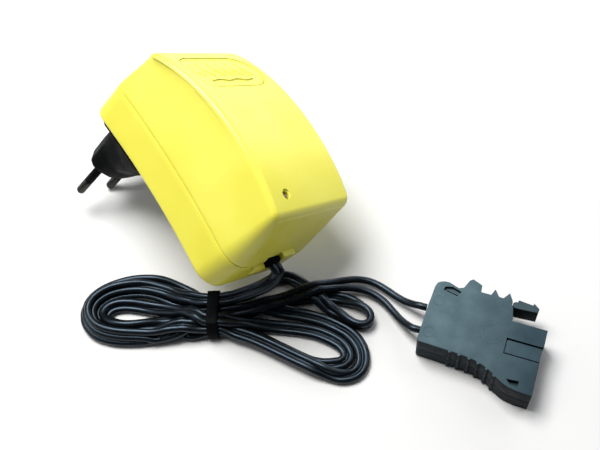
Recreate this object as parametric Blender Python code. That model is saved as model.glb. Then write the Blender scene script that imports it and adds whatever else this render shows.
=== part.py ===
"""Wall-plug charger for a 12 V battery: curved adapter housing with a two-pin plug block,
a tied twin cord and a latching two-way connector. Units are metres, +Z is up and the part
rests on Z = 0. Each separate piece is one closed object."""

import bpy
import bmesh
from math import cos, sin, pi, radians
from mathutils import Matrix, Vector
from mathutils.geometry import tessellate_polygon

MM = 0.001
GAP = 0.3                 # clearance between neighbouring pieces, mm

# Housing, in its own frame (mm): X across, Y towards the pin end with 0 on the pins' plane,
# Z from the back face (0) to the front face.
HALF_W = 28.5             # half width at the parting line
CORD_END = -83.5          # cord end at the parting line
PIN_END = 11.6            # pin end at the parting line
FRONT_PEAK_Z = 51.3       # highest point of the bowed front
FRONT_PEAK_Y = -43.5
FRONT_BOW = (0.0039, 4e-7)    # fall of the front with the second and fourth power of distance
BACK_PEAK_Y = -35.0       # highest point of the hollow back
BACK_PEAK_Z = 0.6
BACK_BOW = 0.0014
FRONT_DRAFT = 1.3         # how far the sides lean in by the front
CORD_DRAFT = 4.2          # how far the cord end leans in by the front
PIN_DRAFT = 3.4
CORNER_CORD = (10.5, 3.3)     # corner radii at the parting line and at the front
CORNER_PIN = (8.0, 4.0)
BACK_DRAFT = 1.5          # how far the cord end leans in by the back
FRONT_FILLET = 2.6
BACK_FILLET = 1.6
WALL = 2.2
SCOOP = 1.7               # depth of the hollow below the front ridge
BADGE = (-1.2, -8.9, 22.6, 10.0)      # centre x, centre y, half length, half height
BADGE_DEPTH = 0.9         # depth of the badge's recess
LAMP = (-16.0, -71.0)
LAMP_HOLE_R = 1.8
SCREW_X = 17.0
SCREW_Y = -66.0
SCREW_BOSS_R = 4.6

# Resting pose of the adapter: the housing frame's axes seen from the table.
POSE_ORIGIN = (-62.2, 28.6, 43.805)
POSE_ACROSS = (0.521, 0.571, -0.635)
POSE_FRONT = (0.680, 0.173, 0.713)
LAYOUT_TURN = 19.6        # whole layout turned so that the connector lies along X
LAYOUT_SHIFT = (39.42, 8.15)   # then moved so that the adapter's box is centred on the origin

PIN_X = 9.3
PIN_R = 2.0
PIN_NECK_R = 1.4
PIN_BORE_R = 1.7
PIN_TIP_Z = -52.0
PIN_ROOT_Z = 4.0          # inner end of the pins, inside the housing
SLEEVE_END_Z = -43.0
SOCKET_R = 2.3            # counterbore of the plug block that holds a sleeve's root
SOCKET_Z = -31.5

EXIT_X = -3.0             # cord exit in the cord-end face
EXIT_Z = 15.4
THROAT = (4.3, 2.9)       # half width and half height of the cord exit
LIP_OUT = 1.6             # how far the lips beside the exit stand out
CORE_D = 3.2              # diameter of one insulated core

HANK_Z0 = 1.4
HANK_Z1 = 8.2
LOOP_Z0 = 0.2
LOOP_Z1 = 3.9
TIE_X = (-39.2, -34.6)
TIE_Y = (-57.4, -37.4)
TIE_T = 1.0
TIE_R = 1.6               # inner corner radius of the tie

# Connector, in its own frame (mm): X from the wire end to the mating end, Y across, Z up.
CONN_POS = (48.3, -66.9)
CONN_ANGLE = -19.6
CONN_H = 14.2
CONN_SPLIT = 7.1
CAVITY_Y = (14.3, 4.9)
LATCH_PIVOT = (34.9, 28.3)
LATCH_R = 1.5
LATCH_Z = (6.0, 14.2)
RIB_OUT = 0.7             # how far the grip ribs stand out

# Inside the housing, in the housing frame.
CORE_MID = (-38.0, 18.0)  # Y and Z of the transformer's middle
CORE_HALF = (21.0, 18.0, 8.0)
LIMB_HALF = 7.0           # half width of the core's middle limb
WINDOW = (7.0, 14.0, 12.0)    # near side, far side and half length of a core window
FLANGE_T = 0.9            # thickness of the bobbin's walls
SPLIT_Y = -1.2            # near face of the wall between the bobbin's two sections
BOARD = (21.0, -79.0, -57.0)  # half width and both ends of the circuit board
BOARD_Z = 5.0
BOARD_T = 1.6

COLOURS = {
    "yellow": (0.93, 0.86, 0.10, 1), "black": (0.02, 0.02, 0.022, 1),
    "slate": (0.10, 0.15, 0.17, 1), "steel": (0.45, 0.45, 0.46, 1),
    "copper": (0.55, 0.25, 0.10, 1), "brass": (0.60, 0.47, 0.20, 1),
    "green": (0.05, 0.25, 0.10, 1), "lamp": (0.35, 0.10, 0.08, 1),
    "white": (0.80, 0.78, 0.70, 1), "glass": (0.70, 0.72, 0.70, 1),
}


def clear_scene():
    for obj in list(bpy.data.objects):
        bpy.data.objects.remove(obj, do_unlink=True)


def material(name, colour, rough=0.5, metal=0.0):
    mat = bpy.data.materials.new(name)
    mat.use_nodes = True
    node = mat.node_tree.nodes["Principled BSDF"]
    node.inputs["Base Color"].default_value = COLOURS[colour]
    node.inputs["Roughness"].default_value = rough
    node.inputs["Metallic"].default_value = metal
    return mat


def turn(degrees):
    return Matrix.Rotation(radians(degrees), 4, "Z")


def layout():
    """From the layout's own table frame to the world."""
    return Matrix.Translation(Vector((*LAYOUT_SHIFT, 0)) * MM) @ turn(LAYOUT_TURN)


def adapter_pose():
    across = Vector(POSE_ACROSS).normalized()
    front = Vector(POSE_FRONT)
    front = (front - across * front.dot(across)).normalized()
    along = front.cross(across)
    rot = Matrix((across, along, front)).transposed().to_4x4()
    return layout() @ Matrix.Translation(Vector(POSE_ORIGIN) * MM) @ rot


def connector_pose():
    place = Matrix.Translation(Vector((CONN_POS[0], CONN_POS[1], 0)) * MM)
    return layout() @ place @ turn(CONN_ANGLE)


def add_object(name, verts, faces, pose, colour, rough=0.5, metal=0.0, smooth=35):
    """Make an object from points in mm; pose takes its frame to the world."""
    mesh = bpy.data.meshes.new(name)
    mesh.from_pydata([[c * MM for c in v] for v in verts], [], faces)
    bm = bmesh.new()
    bm.from_mesh(mesh)
    bmesh.ops.remove_doubles(bm, verts=bm.verts, dist=1e-7)
    bmesh.ops.recalc_face_normals(bm, faces=bm.faces)
    for edge in bm.edges:
        if len(edge.link_faces) == 2:
            edge.smooth = edge.calc_face_angle(0.0) < radians(smooth)
    for face in bm.faces:
        face.smooth = True
    bm.to_mesh(mesh)
    bm.free()
    obj = bpy.data.objects.new(name, mesh)
    bpy.context.scene.collection.objects.link(obj)
    obj.matrix_world = pose
    mesh.materials.append(material(name, colour, rough, metal))
    return obj


def cutter(name, verts, faces, pose):
    obj = add_object(name, verts, faces, pose, "steel")
    obj.hide_render = True
    obj.display_type = "WIRE"
    return obj


def boolean(target, tool, how):
    mod = target.modifiers.new(how.lower() + "_" + tool.name, "BOOLEAN")
    mod.operation = how
    mod.solver = "EXACT"
    mod.object = tool


def bridge(count, a, b, closed=True):
    """Quads between ring a and ring b, given as index offsets."""
    last = count if closed else count - 1
    return [(a + i, a + (i + 1) % count, b + (i + 1) % count, b + i) for i in range(last)]


def loft(rings):
    """Closed solid through equal rings, with flat polygon ends."""
    n = len(rings[0])
    verts = [p for ring in rings for p in ring]
    faces = [tuple(reversed(range(n)))]
    for k in range(len(rings) - 1):
        faces += bridge(n, k * n, (k + 1) * n)
    faces.append(tuple(range((len(rings) - 1) * n, len(rings) * n)))
    return verts, faces


def lathe(profile, sides, centre=(0, 0), axis="Z"):
    """Solid of revolution; profile is (radius, height) pairs from one end to the other."""
    rings = []
    for r, h in profile:
        ring = []
        for i in range(sides):
            a = 2 * pi * i / sides
            u, v = centre[0] + r * cos(a), centre[1] + r * sin(a)
            if axis == "Z":
                ring.append((u, v, h))
            elif axis == "Y":
                ring.append((u, h, v))
            else:
                ring.append((h, u, v))
        rings.append(ring)
    return loft(rings)


def box(x0, x1, y0, y1, z0, z1):
    rings = [[(x0, y0, z), (x1, y0, z), (x1, y1, z), (x0, y1, z)] for z in (z0, z1)]
    return loft(rings)


def smooth_closed(points, steps):
    """Closed Catmull-Rom curve through the points."""
    out = []
    n = len(points)
    for i in range(n):
        p = [Vector(points[(i + k - 1) % n]) for k in range(4)]
        for s in range(steps):
            t = s / steps
            out.append(0.5 * ((2 * p[1]) + (p[2] - p[0]) * t
                              + (2 * p[0] - 5 * p[1] + 4 * p[2] - p[3]) * t * t
                              + (3 * p[1] - p[0] - 3 * p[2] + p[3]) * t * t * t))
    return out


def smooth_open(points, steps):
    """Open Catmull-Rom curve through the points, ends included."""
    pts = [Vector(p) for p in points]
    pts = [2 * pts[0] - pts[1]] + pts + [2 * pts[-1] - pts[-2]]
    out = []
    for i in range(1, len(pts) - 2):
        a, b, c, d = pts[i - 1:i + 3]
        for s in range(steps):
            t = s / steps
            out.append(0.5 * ((2 * b) + (c - a) * t + (2 * a - 5 * b + 4 * c - d) * t * t
                              + (3 * b - a - 3 * c + d) * t * t * t))
    out.append(pts[-2])
    return out


def inset(loop, distance):
    """Move a counter-clockwise plan loop inwards by a distance."""
    out = []
    n = len(loop)
    for i in range(n):
        tangent = (loop[(i + 1) % n] - loop[i - 1]).normalized()
        normal = Vector((-tangent.y, tangent.x))
        out.append(loop[i] + normal * distance)
    return out


def slab(outer, holes, z0, z1, edge):
    """Solid between two heights from a plan outline with holes; all edges are eased."""
    loops = [outer] + holes
    levels = [(z0, edge), (z0 + edge, 0.0), (z1 - edge, 0.0), (z1, edge)]
    verts, faces, ends = [], [], {0: [], 3: []}
    for loop in loops:
        starts = []
        for k, (z, d) in enumerate(levels):
            ring = inset(loop, d)
            starts.append(len(verts))
            verts += [(p.x, p.y, z) for p in ring]
            if k in ends:
                ends[k].append((starts[-1], ring))
        for k in range(3):
            faces += bridge(len(loop), starts[k], starts[k + 1])
    for k in (0, 3):
        index = [s + i for s, ring in ends[k] for i in range(len(ring))]
        polys = [[Vector((p.x, p.y, 0)) for p in ring] for s, ring in ends[k]]
        faces += [tuple(index[i] for i in tri) for tri in tessellate_polygon(polys)]
    return verts, faces


# ---------------------------------------------------------------- housing

def front_z(y):
    d = y - FRONT_PEAK_Y
    return FRONT_PEAK_Z - FRONT_BOW[0] * d ** 2 - FRONT_BOW[1] * d ** 4


def part_z(y):
    return 18.2 - 0.0012 * (y + 35) ** 2


def back_z(y):
    return BACK_PEAK_Z - BACK_BOW * (y - BACK_PEAK_Y) ** 2


def half_plan(w, y0, y1, r0, r1):
    """Right half of a rounded plan outline, from the cord end to the pin end."""
    pts = [(w - r0 + r0 * sin(a), y0 + r0 - r0 * cos(a))
           for a in [k * pi / 2 / 6 for k in range(7)]]
    lo, hi = y0 + r0, y1 - r1
    pts += [(w, lo + (hi - lo) * k / 10) for k in range(1, 10)]
    pts += [(w - r1 + r1 * cos(a), y1 - r1 + r1 * sin(a))
            for a in [k * pi / 2 / 5 for k in range(6)]]
    return pts


def hollow(y, t):
    """Inward scoop of the side below the ridge, strongest towards the pin end."""
    along = min(1.0, max(0.12, (y + 62) / 60))
    return SCOOP * along * max(0.0, sin(pi * min(1.0, t ** 1.6)))


def plan_ring(t, shrink, z_of, back=0.0):
    """Housing outline at fraction t from the parting line to the front, or at fraction back
    from it to the back."""
    w = HALF_W - FRONT_DRAFT * t - shrink
    y0 = CORD_END + CORD_DRAFT * t + BACK_DRAFT * back + shrink
    y1 = PIN_END - PIN_DRAFT * t - shrink
    r0, r1 = (max(1.0, r[0] + (r[1] - r[0]) * t - shrink) for r in (CORNER_CORD, CORNER_PIN))
    right = half_plan(w, y0, y1, r0, r1)
    ring = []
    for x, y in right:
        ring.append((x - hollow(y, t) * min(1.0, x / w) ** 4, y, z_of(y)))
    return ring + [(-x, y, z) for x, y, z in reversed(ring)]


def cap(n, start, flip):
    """Strips across a ring whose second half mirrors its first."""
    half = n // 2
    faces = []
    for i in range(half - 1):
        quad = (start + i, start + i + 1, start + n - 2 - i, start + n - 1 - i)
        faces.append(tuple(reversed(quad)) if flip else quad)
    return faces


def shell_solid(outer, inner):
    """Open shell: outer and inner ring stacks share a rim at their first rings."""
    n = len(outer[0])
    verts = [p for ring in outer + inner for p in ring]
    faces = []
    for k in range(len(outer) - 1):
        faces += bridge(n, k * n, (k + 1) * n)
    base = len(outer) * n
    for k in range(len(inner) - 1):
        faces += bridge(n, base + k * n, base + (k + 1) * n)
    faces += bridge(n, 0, base)
    faces += cap(n, (len(outer) - 1) * n, False)
    faces += cap(n, base + (len(inner) - 1) * n, True)
    return verts, faces


def between(t, lo, hi):
    return lambda y: lo(y) + t * (hi(y) - lo(y))


def cover_mesh():
    seam = lambda y: part_z(y) + GAP / 2
    outer = [plan_ring(t, 0.0, between(t, seam, front_z)) for t in (0, 0.2, 0.4, 0.6, 0.78, 0.9)]
    for a in (15, 40, 65, 90):
        d = FRONT_FILLET * (1 - cos(radians(a)))
        drop = FRONT_FILLET * (1 - sin(radians(a)))
        outer.append(plan_ring(1.0, d, lambda y, q=drop: front_z(y) - q))
    top = lambda y: front_z(y) - WALL
    inner = [plan_ring(t, WALL, between(t, seam, top)) for t in (0, 0.5)]
    inner.append(plan_ring(0.95, WALL + 0.6, top))
    return shell_solid(outer, inner)


def back_mesh():
    seam = lambda y: part_z(y) - GAP / 2
    outer = [plan_ring(0, 0.0, seam), plan_ring(0, 0.15, between(0.5, seam, back_z), 0.5)]
    for a in (0, 30, 60, 90):
        d = 0.3 + BACK_FILLET * (1 - cos(radians(a)))
        rise = BACK_FILLET * (1 - sin(radians(a)))
        outer.append(plan_ring(0, d, lambda y, q=rise: back_z(y) + q, 1.0))
    inner = [plan_ring(0, WALL, seam), plan_ring(0, WALL + 0.6, lambda y: back_z(y) + WALL, 1.0)]
    return shell_solid(outer, inner)


def badge_strip(grow, top, bottom):
    """Stadium-shaped plate that follows the bowed front, built as strips across X."""
    cx, cy, a, b = BADGE
    a, b = a + grow, b + grow
    steps = 16
    verts, faces = [], []
    for i in range(steps + 1):
        s = -cos(pi * i / steps)
        y = cy + b * s
        half = a - b + b * max(0.0, 1 - s * s) ** 0.5
        for x in (cx - half, cx + half):
            for drop in (top, bottom):
                verts.append((x, y, front_z(y) - drop))
    for i in range(steps):
        p, q = 4 * i, 4 * i + 4
        faces += [(p, p + 2, q + 2, q), (p + 1, q + 1, q + 3, p + 3)]
        faces += [(p, q, q + 1, p + 1), (p + 2, p + 3, q + 3, q + 2)]
    faces += [(0, 1, 3, 2), (4 * steps, 4 * steps + 2, 4 * steps + 3, 4 * steps + 1)]
    return verts, faces


def lip(side):
    """Raised lip beside the cord exit, on one shell's part of the cord-end face."""
    if side == "cover":
        return box(0.0, 8.0, CORD_END - LIP_OUT, CORD_END + 2.5, EXIT_Z + 0.65, EXIT_Z + 4.6)
    return box(-14.5, -6.5, CORD_END - LIP_OUT, CORD_END + 1.5, EXIT_Z - 4.8, EXIT_Z - 0.25)


def make_housing(pose):
    cover = add_object("front_cover", *cover_mesh(), pose, "yellow", 0.35)
    back = add_object("back_shell", *back_mesh(), pose, "yellow", 0.38)
    pocket = cutter("cut_badge", *badge_strip(GAP, -1.0, BADGE_DEPTH), pose)
    boolean(cover, pocket, "DIFFERENCE")
    hole = cutter("cut_lamp", *lathe([(LAMP_HOLE_R, 40), (LAMP_HOLE_R, 52)], 20, LAMP), pose)
    boolean(cover, hole, "DIFFERENCE")
    wide, tall = THROAT
    throat = box(EXIT_X - wide, EXIT_X + wide, CORD_END - 4, CORD_END + 5, EXIT_Z - tall, EXIT_Z + tall)
    for shell, side in ((cover, "cover"), (back, "back")):
        boolean(shell, cutter("add_lip_" + side, *lip(side), pose), "UNION")
        boolean(shell, cutter("cut_throat_" + side, *throat, pose), "DIFFERENCE")
    for x, tag in ((-PIN_X, "left"), (PIN_X, "right")):
        bore = lathe([(PIN_BORE_R, -5), (PIN_BORE_R, 6)], 16, (x, 0))
        boolean(back, cutter("cut_pin_" + tag, *bore, pose), "DIFFERENCE")
    for x, tag in ((-SCREW_X, "left"), (SCREW_X, "right")):
        add_screw(back, x, tag, pose)
    add_object("badge_plate", *badge_strip(0.0, 0.15, BADGE_DEPTH - GAP), pose, "yellow", 0.4)
    add_lamp(pose)


def add_screw(shell, x, tag, pose):
    """Screw sunk in a counterbored boss of the back."""
    spot = (x, SCREW_Y)
    seat = back_z(SCREW_Y)
    boss = lathe([(SCREW_BOSS_R, seat + 1.2), (SCREW_BOSS_R, seat + 5.1)], 20, spot)
    boolean(shell, cutter("add_boss_" + tag, *boss, pose), "UNION")
    bore = [(3.1, seat - 3), (3.1, seat + 1.8), (1.6, seat + 1.8), (1.6, seat + 7)]
    boolean(shell, cutter("cut_screw_" + tag, *lathe(bore, 16, spot), pose), "DIFFERENCE")
    screw = [(1.2, seat + 0.3), (2.7, seat + 0.4), (2.7, seat + 1.5), (1.3, seat + 1.5),
             (1.3, seat + 4.4), (0.6, seat + 5.0)]
    add_object("screw_" + tag, *lathe(screw, 16, spot), pose, "steel", 0.3, 1.0)


def add_lamp(pose):
    """Indicator lamp: a leg from the board, a collar under the wall and a dome in the hole."""
    top = front_z(LAMP[1])
    collar = top - 6.6
    profile = [(0.45, 7.2), (0.45, collar), (1.95, collar), (1.95, collar + 1.2),
               (1.45, collar + 1.2), (1.45, top - 1.6), (1.1, top - 0.8), (0.5, top - 0.45)]
    add_object("status_led", *lathe(profile, 16, LAMP), pose, "lamp", 0.2)


def make_gland(pose):
    """Strain relief: a flange inside the wall, a body in the throat, a ribbed nose."""
    rings = []
    for y, hx, hz in ((-79.0, 5.6, 2.6), (-80.4, 5.6, 2.6), (-80.4, 4.0, 2.6),
                      (-84.4, 4.0, 2.6), (-85.4, 3.7, 2.3)):
        ring = []
        for i in range(16):
            a = 2 * pi * i / 16
            r = (abs(cos(a)) ** 4 + abs(sin(a)) ** 4) ** -0.25
            ring.append((EXIT_X + hx * r * cos(a), y, EXIT_Z + hz * r * sin(a)))
        rings.append(ring)
    add_object("cord_gland", *loft(rings), pose, "black", 0.6)


PLATE_OUTLINE = [(20.0, -25.5), (25.0, -24.2), (26.3, -20.0), (26.3, -8.0), (26.1, 2.6),
                 (24.4, 6.2), (20.0, 7.9)]
PLATE_T = 1.7

# Right half of the plug block's outline where it meets the plate, and below it to the pin face.
PLUG_ROOT = [(18.0, -24.0), (24.0, -22.0), (24.0, -14.0), (19.0, -4.0), (14.6, 3.6), (9.4, 7.2)]
PLUG_LEVELS = [
    (-12.0, [(14.0, -19.0), (18.0, -17.0), (18.6, -10.5), (16.0, -2.0), (13.8, 3.8), (9.0, 8.8)]),
    (-22.0, [(8.0, -12.6), (13.0, -9.0), (14.6, -4.8), (14.4, 0.2), (13.5, 4.1), (8.8, 9.0)]),
    (-31.8, [(3.0, -8.0), (8.4, -6.4), (13.2, -1.6), (13.9, 1.4), (13.2, 4.2), (8.4, 8.8)]),
    (-33.0, [(2.4, -7.0), (7.8, -5.6), (12.2, -1.4), (12.9, 1.2), (12.2, 3.6), (7.8, 7.8)]),
]


def mirrored(points):
    return list(points) + [(-x, y) for x, y in reversed(points)]


def make_plug(pose):
    outline = mirrored(PLATE_OUTLINE)
    n = len(outline)
    verts = [(x, y, back_z(y) - GAP - drop) for drop in (0.0, PLATE_T) for x, y in outline]
    faces = bridge(n, 0, n) + cap(n, 0, False) + cap(n, n, True)
    plate = add_object("plug_base", verts, faces, pose, "black", 0.5)
    root = [(x, y, back_z(y) - PLATE_T - 2 * GAP) for x, y in mirrored(PLUG_ROOT)]
    rings = [root] + [[(x, y, z) for x, y in mirrored(half)] for z, half in PLUG_LEVELS]
    n = len(root)
    verts, faces = loft(rings)
    faces = cap(n, 0, True) + faces[1:]
    block = add_object("plug_block", verts, faces, pose, "black", 0.45, smooth=25)
    for x, tag in ((-PIN_X, "left"), (PIN_X, "right")):
        bore = lathe([(PIN_BORE_R, -40), (PIN_BORE_R, 2)], 16, (x, 0))
        for piece in (plate, block):
            boolean(piece, cutter("cut_%s_%s" % (piece.name, tag), *bore, pose), "DIFFERENCE")
        socket = lathe([(SOCKET_R, -40), (SOCKET_R, SOCKET_Z)], 20, (x, 0))
        boolean(block, cutter("cut_socket_" + tag, *socket, pose), "DIFFERENCE")
        pin = [(0.9, PIN_TIP_Z), (1.6, PIN_TIP_Z + 0.4), (PIN_R, PIN_TIP_Z + 1.2),
               (PIN_R, SLEEVE_END_Z - GAP), (PIN_NECK_R, SLEEVE_END_Z - GAP),
               (PIN_NECK_R, PIN_ROOT_Z)]
        add_object("pin_" + tag, *lathe(pin, 20, (x, 0)), pose, "steel", 0.25, 1.0)
        add_sleeve(x, tag, pose)


def add_sleeve(x, tag, pose):
    """Insulating tube round a pin's root, seated in the block's counterbore."""
    sides = 20
    seat = SOCKET_Z - GAP
    bore = PIN_NECK_R + GAP
    profile = [(bore, SLEEVE_END_Z), (PIN_R, SLEEVE_END_Z), (PIN_R, seat), (bore, seat)]
    verts, faces = [], []
    for k, (r, z) in enumerate(profile):
        verts += [(x + r * cos(2 * pi * i / sides), r * sin(2 * pi * i / sides), z)
                  for i in range(sides)]
        faces += bridge(sides, k * sides, (k + 1) % len(profile) * sides)
    add_object("sleeve_" + tag, verts, faces, pose, "black", 0.4)


# ------------------------------------------------------- inside the housing

def rect_rings(profile, y_mid, z_mid):
    """Closed band of rectangles; profile is (y, half x, half z) round the cross-section."""
    verts, faces = [], []
    for y, hx, hz in profile:
        verts += [(sx * hx, y_mid + y, z_mid + sz * hz)
                  for sx, sz in ((1, -1), (1, 1), (-1, 1), (-1, -1))]
    n = len(profile)
    for k in range(n):
        faces += bridge(4, k * 4, (k + 1) % n * 4)
    return verts, faces


def core_plan():
    """Outline of a lamination and its two windows, as plan loops."""
    x, y = CORE_HALF[:2]
    near, far, half = WINDOW
    loops = [[(-x, -y), (x, -y), (x, y), (-x, y)]]
    loops.append([(near, half), (far, half), (far, -half), (near, -half)])
    loops.append([(-far, half), (-near, half), (-near, -half), (-far, -half)])
    return loops


def make_transformer(pose):
    y_mid, z_mid = CORE_MID
    stack = CORE_HALF[2]
    loops = core_plan()
    flat = [p for loop in loops for p in loop]
    verts = [(x, y_mid + y, z_mid + z) for z in (-stack, stack) for x, y in flat]
    tris = tessellate_polygon([[Vector((x, y, 0)) for x, y in loop] for loop in loops])
    faces = [tuple(t) for t in tris] + [tuple(i + len(flat) for i in reversed(t)) for t in tris]
    start = 0
    for loop in loops:
        faces += bridge(len(loop), start, start + len(flat))
        start += len(loop)
    add_object("transformer_core", verts, faces, pose, "steel", 0.5, 0.8)
    make_windings(pose)


def make_windings(pose):
    """Two-section bobbin round the middle limb, with a winding in each section."""
    bore = (LIMB_HALF + GAP, CORE_HALF[2] + GAP)
    wall = (bore[0] + FLANGE_T, bore[1] + FLANGE_T)
    rim = (WINDOW[1] - GAP, bore[1] + 5.6)
    end = WINDOW[2] - GAP
    profile = [(-end, *bore), (-end, *rim)]
    for left, right in ((-end + FLANGE_T, SPLIT_Y), (SPLIT_Y + FLANGE_T, end - FLANGE_T)):
        profile += [(left, *rim), (left, *wall), (right, *wall), (right, *rim)]
    profile += [(end, *rim), (end, *bore)]
    add_object("transformer_bobbin", *rect_rings(profile, *CORE_MID), pose, "white", 0.5)
    inner = (wall[0] + GAP, wall[1] + GAP)
    outer = (rim[0] - 2 * GAP, rim[1] - 2 * GAP)
    for name, low, high in (("secondary_winding", -10.5, -1.5), ("primary_winding", 0.0, 10.5)):
        band = [(low, *inner), (low, *outer), (high, *outer), (high, *inner)]
        add_object(name, *rect_rings(band, *CORE_MID), pose, "copper", 0.35, 0.6)


def make_board(pose):
    """Rectifier board on the back's inner face; parts stand one gap clear of it."""
    half, y0, y1 = BOARD
    add_object("circuit_board", *box(-half, half, y0, y1, BOARD_Z, BOARD_Z + BOARD_T), pose,
               "green", 0.5)
    top = BOARD_Z + BOARD_T + GAP
    diode = [(1.0, 3.0), (1.35, 3.2), (1.35, 8.4), (1.0, 8.6)]
    for k in range(4):
        spot = (-75.6 + 4.0 * k, top + 1.4)
        add_object("diode_%d" % (k + 1), *lathe(diode, 12, spot, "X"), pose, "black", 0.4)
    capacitor = [(4.6, top), (5.0, top + 0.5), (5.0, top + 16.5), (4.5, top + 17)]
    add_object("capacitor", *lathe(capacitor, 20, (15.0, -64.0)), pose, "black", 0.35)
    fuse = [(2.2, -15), (2.5, -14.8), (2.5, -1.2), (2.2, -1.0)]
    add_object("fuse", *lathe(fuse, 14, (-60.4, top + 2.6), "X"), pose, "glass", 0.1)
    resistor = [(0.9, -13), (1.3, -12.6), (1.3, -6.4), (0.9, -6.0)]
    add_object("resistor", *lathe(resistor, 12, (-66.5, top + 1.4), "X"), pose, "white", 0.5)


def make_straps(pose):
    """Bent brass strips that carry the mains from the pins' roots to the windings."""
    profile = [(2.0, 4.3), (2.0, 4.9), (-18.0, 4.9), (-18.0, 13.0), (-18.6, 13.0), (-18.6, 4.3)]
    for x, tag in ((-PIN_X, "left"), (PIN_X, "right")):
        rings = [[(x + side, y, z) for y, z in profile] for side in (-2.0, 2.0)]
        add_object("strap_" + tag, *loft(rings), pose, "brass", 0.3, 1.0)


# ------------------------------------------------------------------- cord

HANK_OUTLINE = [
    (-36, -39.4), (-50, -35), (-61, -29), (-70, -27.8), (-79, -29.8), (-87, -32),
    (-93.5, -36), (-96, -42), (-94, -49), (-87, -55), (-77, -58), (-65, -57.5), (-52, -56.6),
    (-38, -56.4), (-31, -57), (-21, -61), (-8, -69), (5, -76.5), (17, -80.5), (25.5, -78),
    (29.5, -69), (28.5, -61), (22, -54), (13, -48), (2, -44.6), (-9, -41.8), (-21, -40),
]
HANK_HOLE = [
    (-21, -55), (-12, -60), (-3, -65), (4, -68.2), (11, -68.6), (17.5, -66.5), (17, -63),
    (11, -60), (2, -57.4), (-9, -55.8),
]
LOOP_OUTLINE = [
    (-30, -37.8), (-20, -32.4), (-10, -26.2), (-4, -27.6), (2, -31.6), (9, -34.8), (18, -36.8),
    (26, -41.4), (32.4, -48.6), (33, -54), (29.8, -56.6), (22.8, -52.6), (13.6, -46.8),
    (2.4, -43.4), (-9, -40.6), (-20, -38.8),
]
LOOP_HOLE = [(-15, -35.2), (-9, -31), (-4, -33.4), (1, -37), (-6, -36.6)]

LEAD_A = [(-9.8, -40.4, 32.4), (-8.4, -42.4, 31.4), (-9.8, -42.6, 28.4), (-14, -40.6, 23.4),
          (-19.7, -40.0, 18.4), (-25.5, -39.8, 14.2), (-30.8, -40.0, 11.4), (-34.3, -40.2, 10.7)]
LEAD_B = [(-7.8, -38.2, 30.0), (-5.6, -41.6, 28.6), (-6.8, -44.6, 25.6), (-12, -44.4, 20.8),
          (-18.4, -43.8, 16.6), (-24.8, -43.5, 13.9), (-30.5, -43.6, 11.6), (-34.3, -43.9, 10.7)]
WIRE_A = [(-34.3, -47.8, 10.7), (-28, -47.8, 10.7), (-22, -46.4, 10.7), (-15, -43.5, 10.7),
          (-8, -40.8, 10.6), (-1, -38.0, 10.3), (8.5, -35.0, 9.4), (15, -33.0, 8.4),
          (20.4, -31.4, 7.5), (25, -30.7, 6.6), (30.5, -31.5, 6.0), (36, -34.6, 5.8),
          (40.5, -39, 5.8), (45, -43.6, 6.4), (50.6, -46.9, 7.1), (54.5, -48.3, 7.1)]
WIRE_B = [(-34.3, -51.7, 10.7), (-28, -51.7, 10.7), (-22, -50.4, 10.7), (-15, -47.5, 10.7),
          (-8, -44.8, 10.6), (-1, -42.1, 10.3), (7, -39.3, 9.6), (15, -37.0, 8.6),
          (20.5, -35.6, 7.7), (26, -35.8, 6.8), (32.1, -38.0, 6.2), (37.3, -42.4, 6.0),
          (40.4, -47.6, 6.0), (43.4, -53.2, 6.4), (47.1, -57.3, 7.1), (50.8, -58.7, 7.1)]


def tube(name, points, pose):
    """Solid round core along a smooth line."""
    curve = bpy.data.curves.new(name, "CURVE")
    curve.dimensions = "3D"
    curve.bevel_depth = CORE_D / 2 * MM
    curve.bevel_resolution = 2
    curve.render_resolution_u = 0
    curve.use_fill_caps = True
    path = smooth_open(points, 2)
    spline = curve.splines.new("POLY")
    spline.points.add(len(path) - 1)
    for point, p in zip(spline.points, path):
        point.co = (p.x * MM, p.y * MM, p.z * MM, 1)
    spline.use_smooth = True
    obj = bpy.data.objects.new(name, curve)
    bpy.context.scene.collection.objects.link(obj)
    obj.matrix_world = pose
    curve.materials.append(material(name, "black", 0.4))


def wound(points, anticlockwise):
    """The same closed loop, running the way asked."""
    loop = [Vector(p) for p in points]
    area = sum(a.x * b.y - b.x * a.y for a, b in zip(loop, loop[1:] + loop[:1]))
    if (area > 0) != anticlockwise:
        loop.reverse()
    return loop


def add_coil(name, outline, hole, heights, edge, pose):
    """Solid of the outer shape of wound cord, with the opening in its middle."""
    outer = smooth_closed(wound(outline, True), 3)
    inner = smooth_closed(wound(hole, False), 3)
    add_object(name, *slab(outer, [inner], *heights, edge), pose, "black", 0.4)


def make_cord(pose):
    add_coil("cord_hank", HANK_OUTLINE, HANK_HOLE, (HANK_Z0, HANK_Z1), 1.2, pose)
    add_coil("side_loop", LOOP_OUTLINE, LOOP_HOLE, (LOOP_Z0, LOOP_Z1), 0.9, pose)
    make_tie(pose)
    for name, points in (("lead_a", LEAD_A), ("lead_b", LEAD_B), ("wire_a", WIRE_A),
                         ("wire_b", WIRE_B)):
        tube(name, points, pose)


def make_tie(pose):
    """Flat band round the waist of the hank."""
    y0, y1 = TIE_Y[0] + TIE_R, TIE_Y[1] - TIE_R
    z0, z1 = HANK_Z0 - GAP + TIE_R, HANK_Z1 + GAP - TIE_R
    verts = []
    for x in TIE_X:
        for r in (TIE_R, TIE_R + TIE_T):
            for cy, cz, start in ((y1, z1, 0), (y0, z1, 90), (y0, z0, 180), (y1, z0, 270)):
                for k in range(4):
                    a = radians(start + 30 * k)
                    verts.append((x, cy + r * cos(a), cz + r * sin(a)))
    faces = bridge(16, 0, 16) + bridge(16, 16, 48) + bridge(16, 48, 32) + bridge(16, 32, 0)
    add_object("cord_tie", verts, faces, pose, "black", 0.5)


# -------------------------------------------------------------- connector

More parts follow.
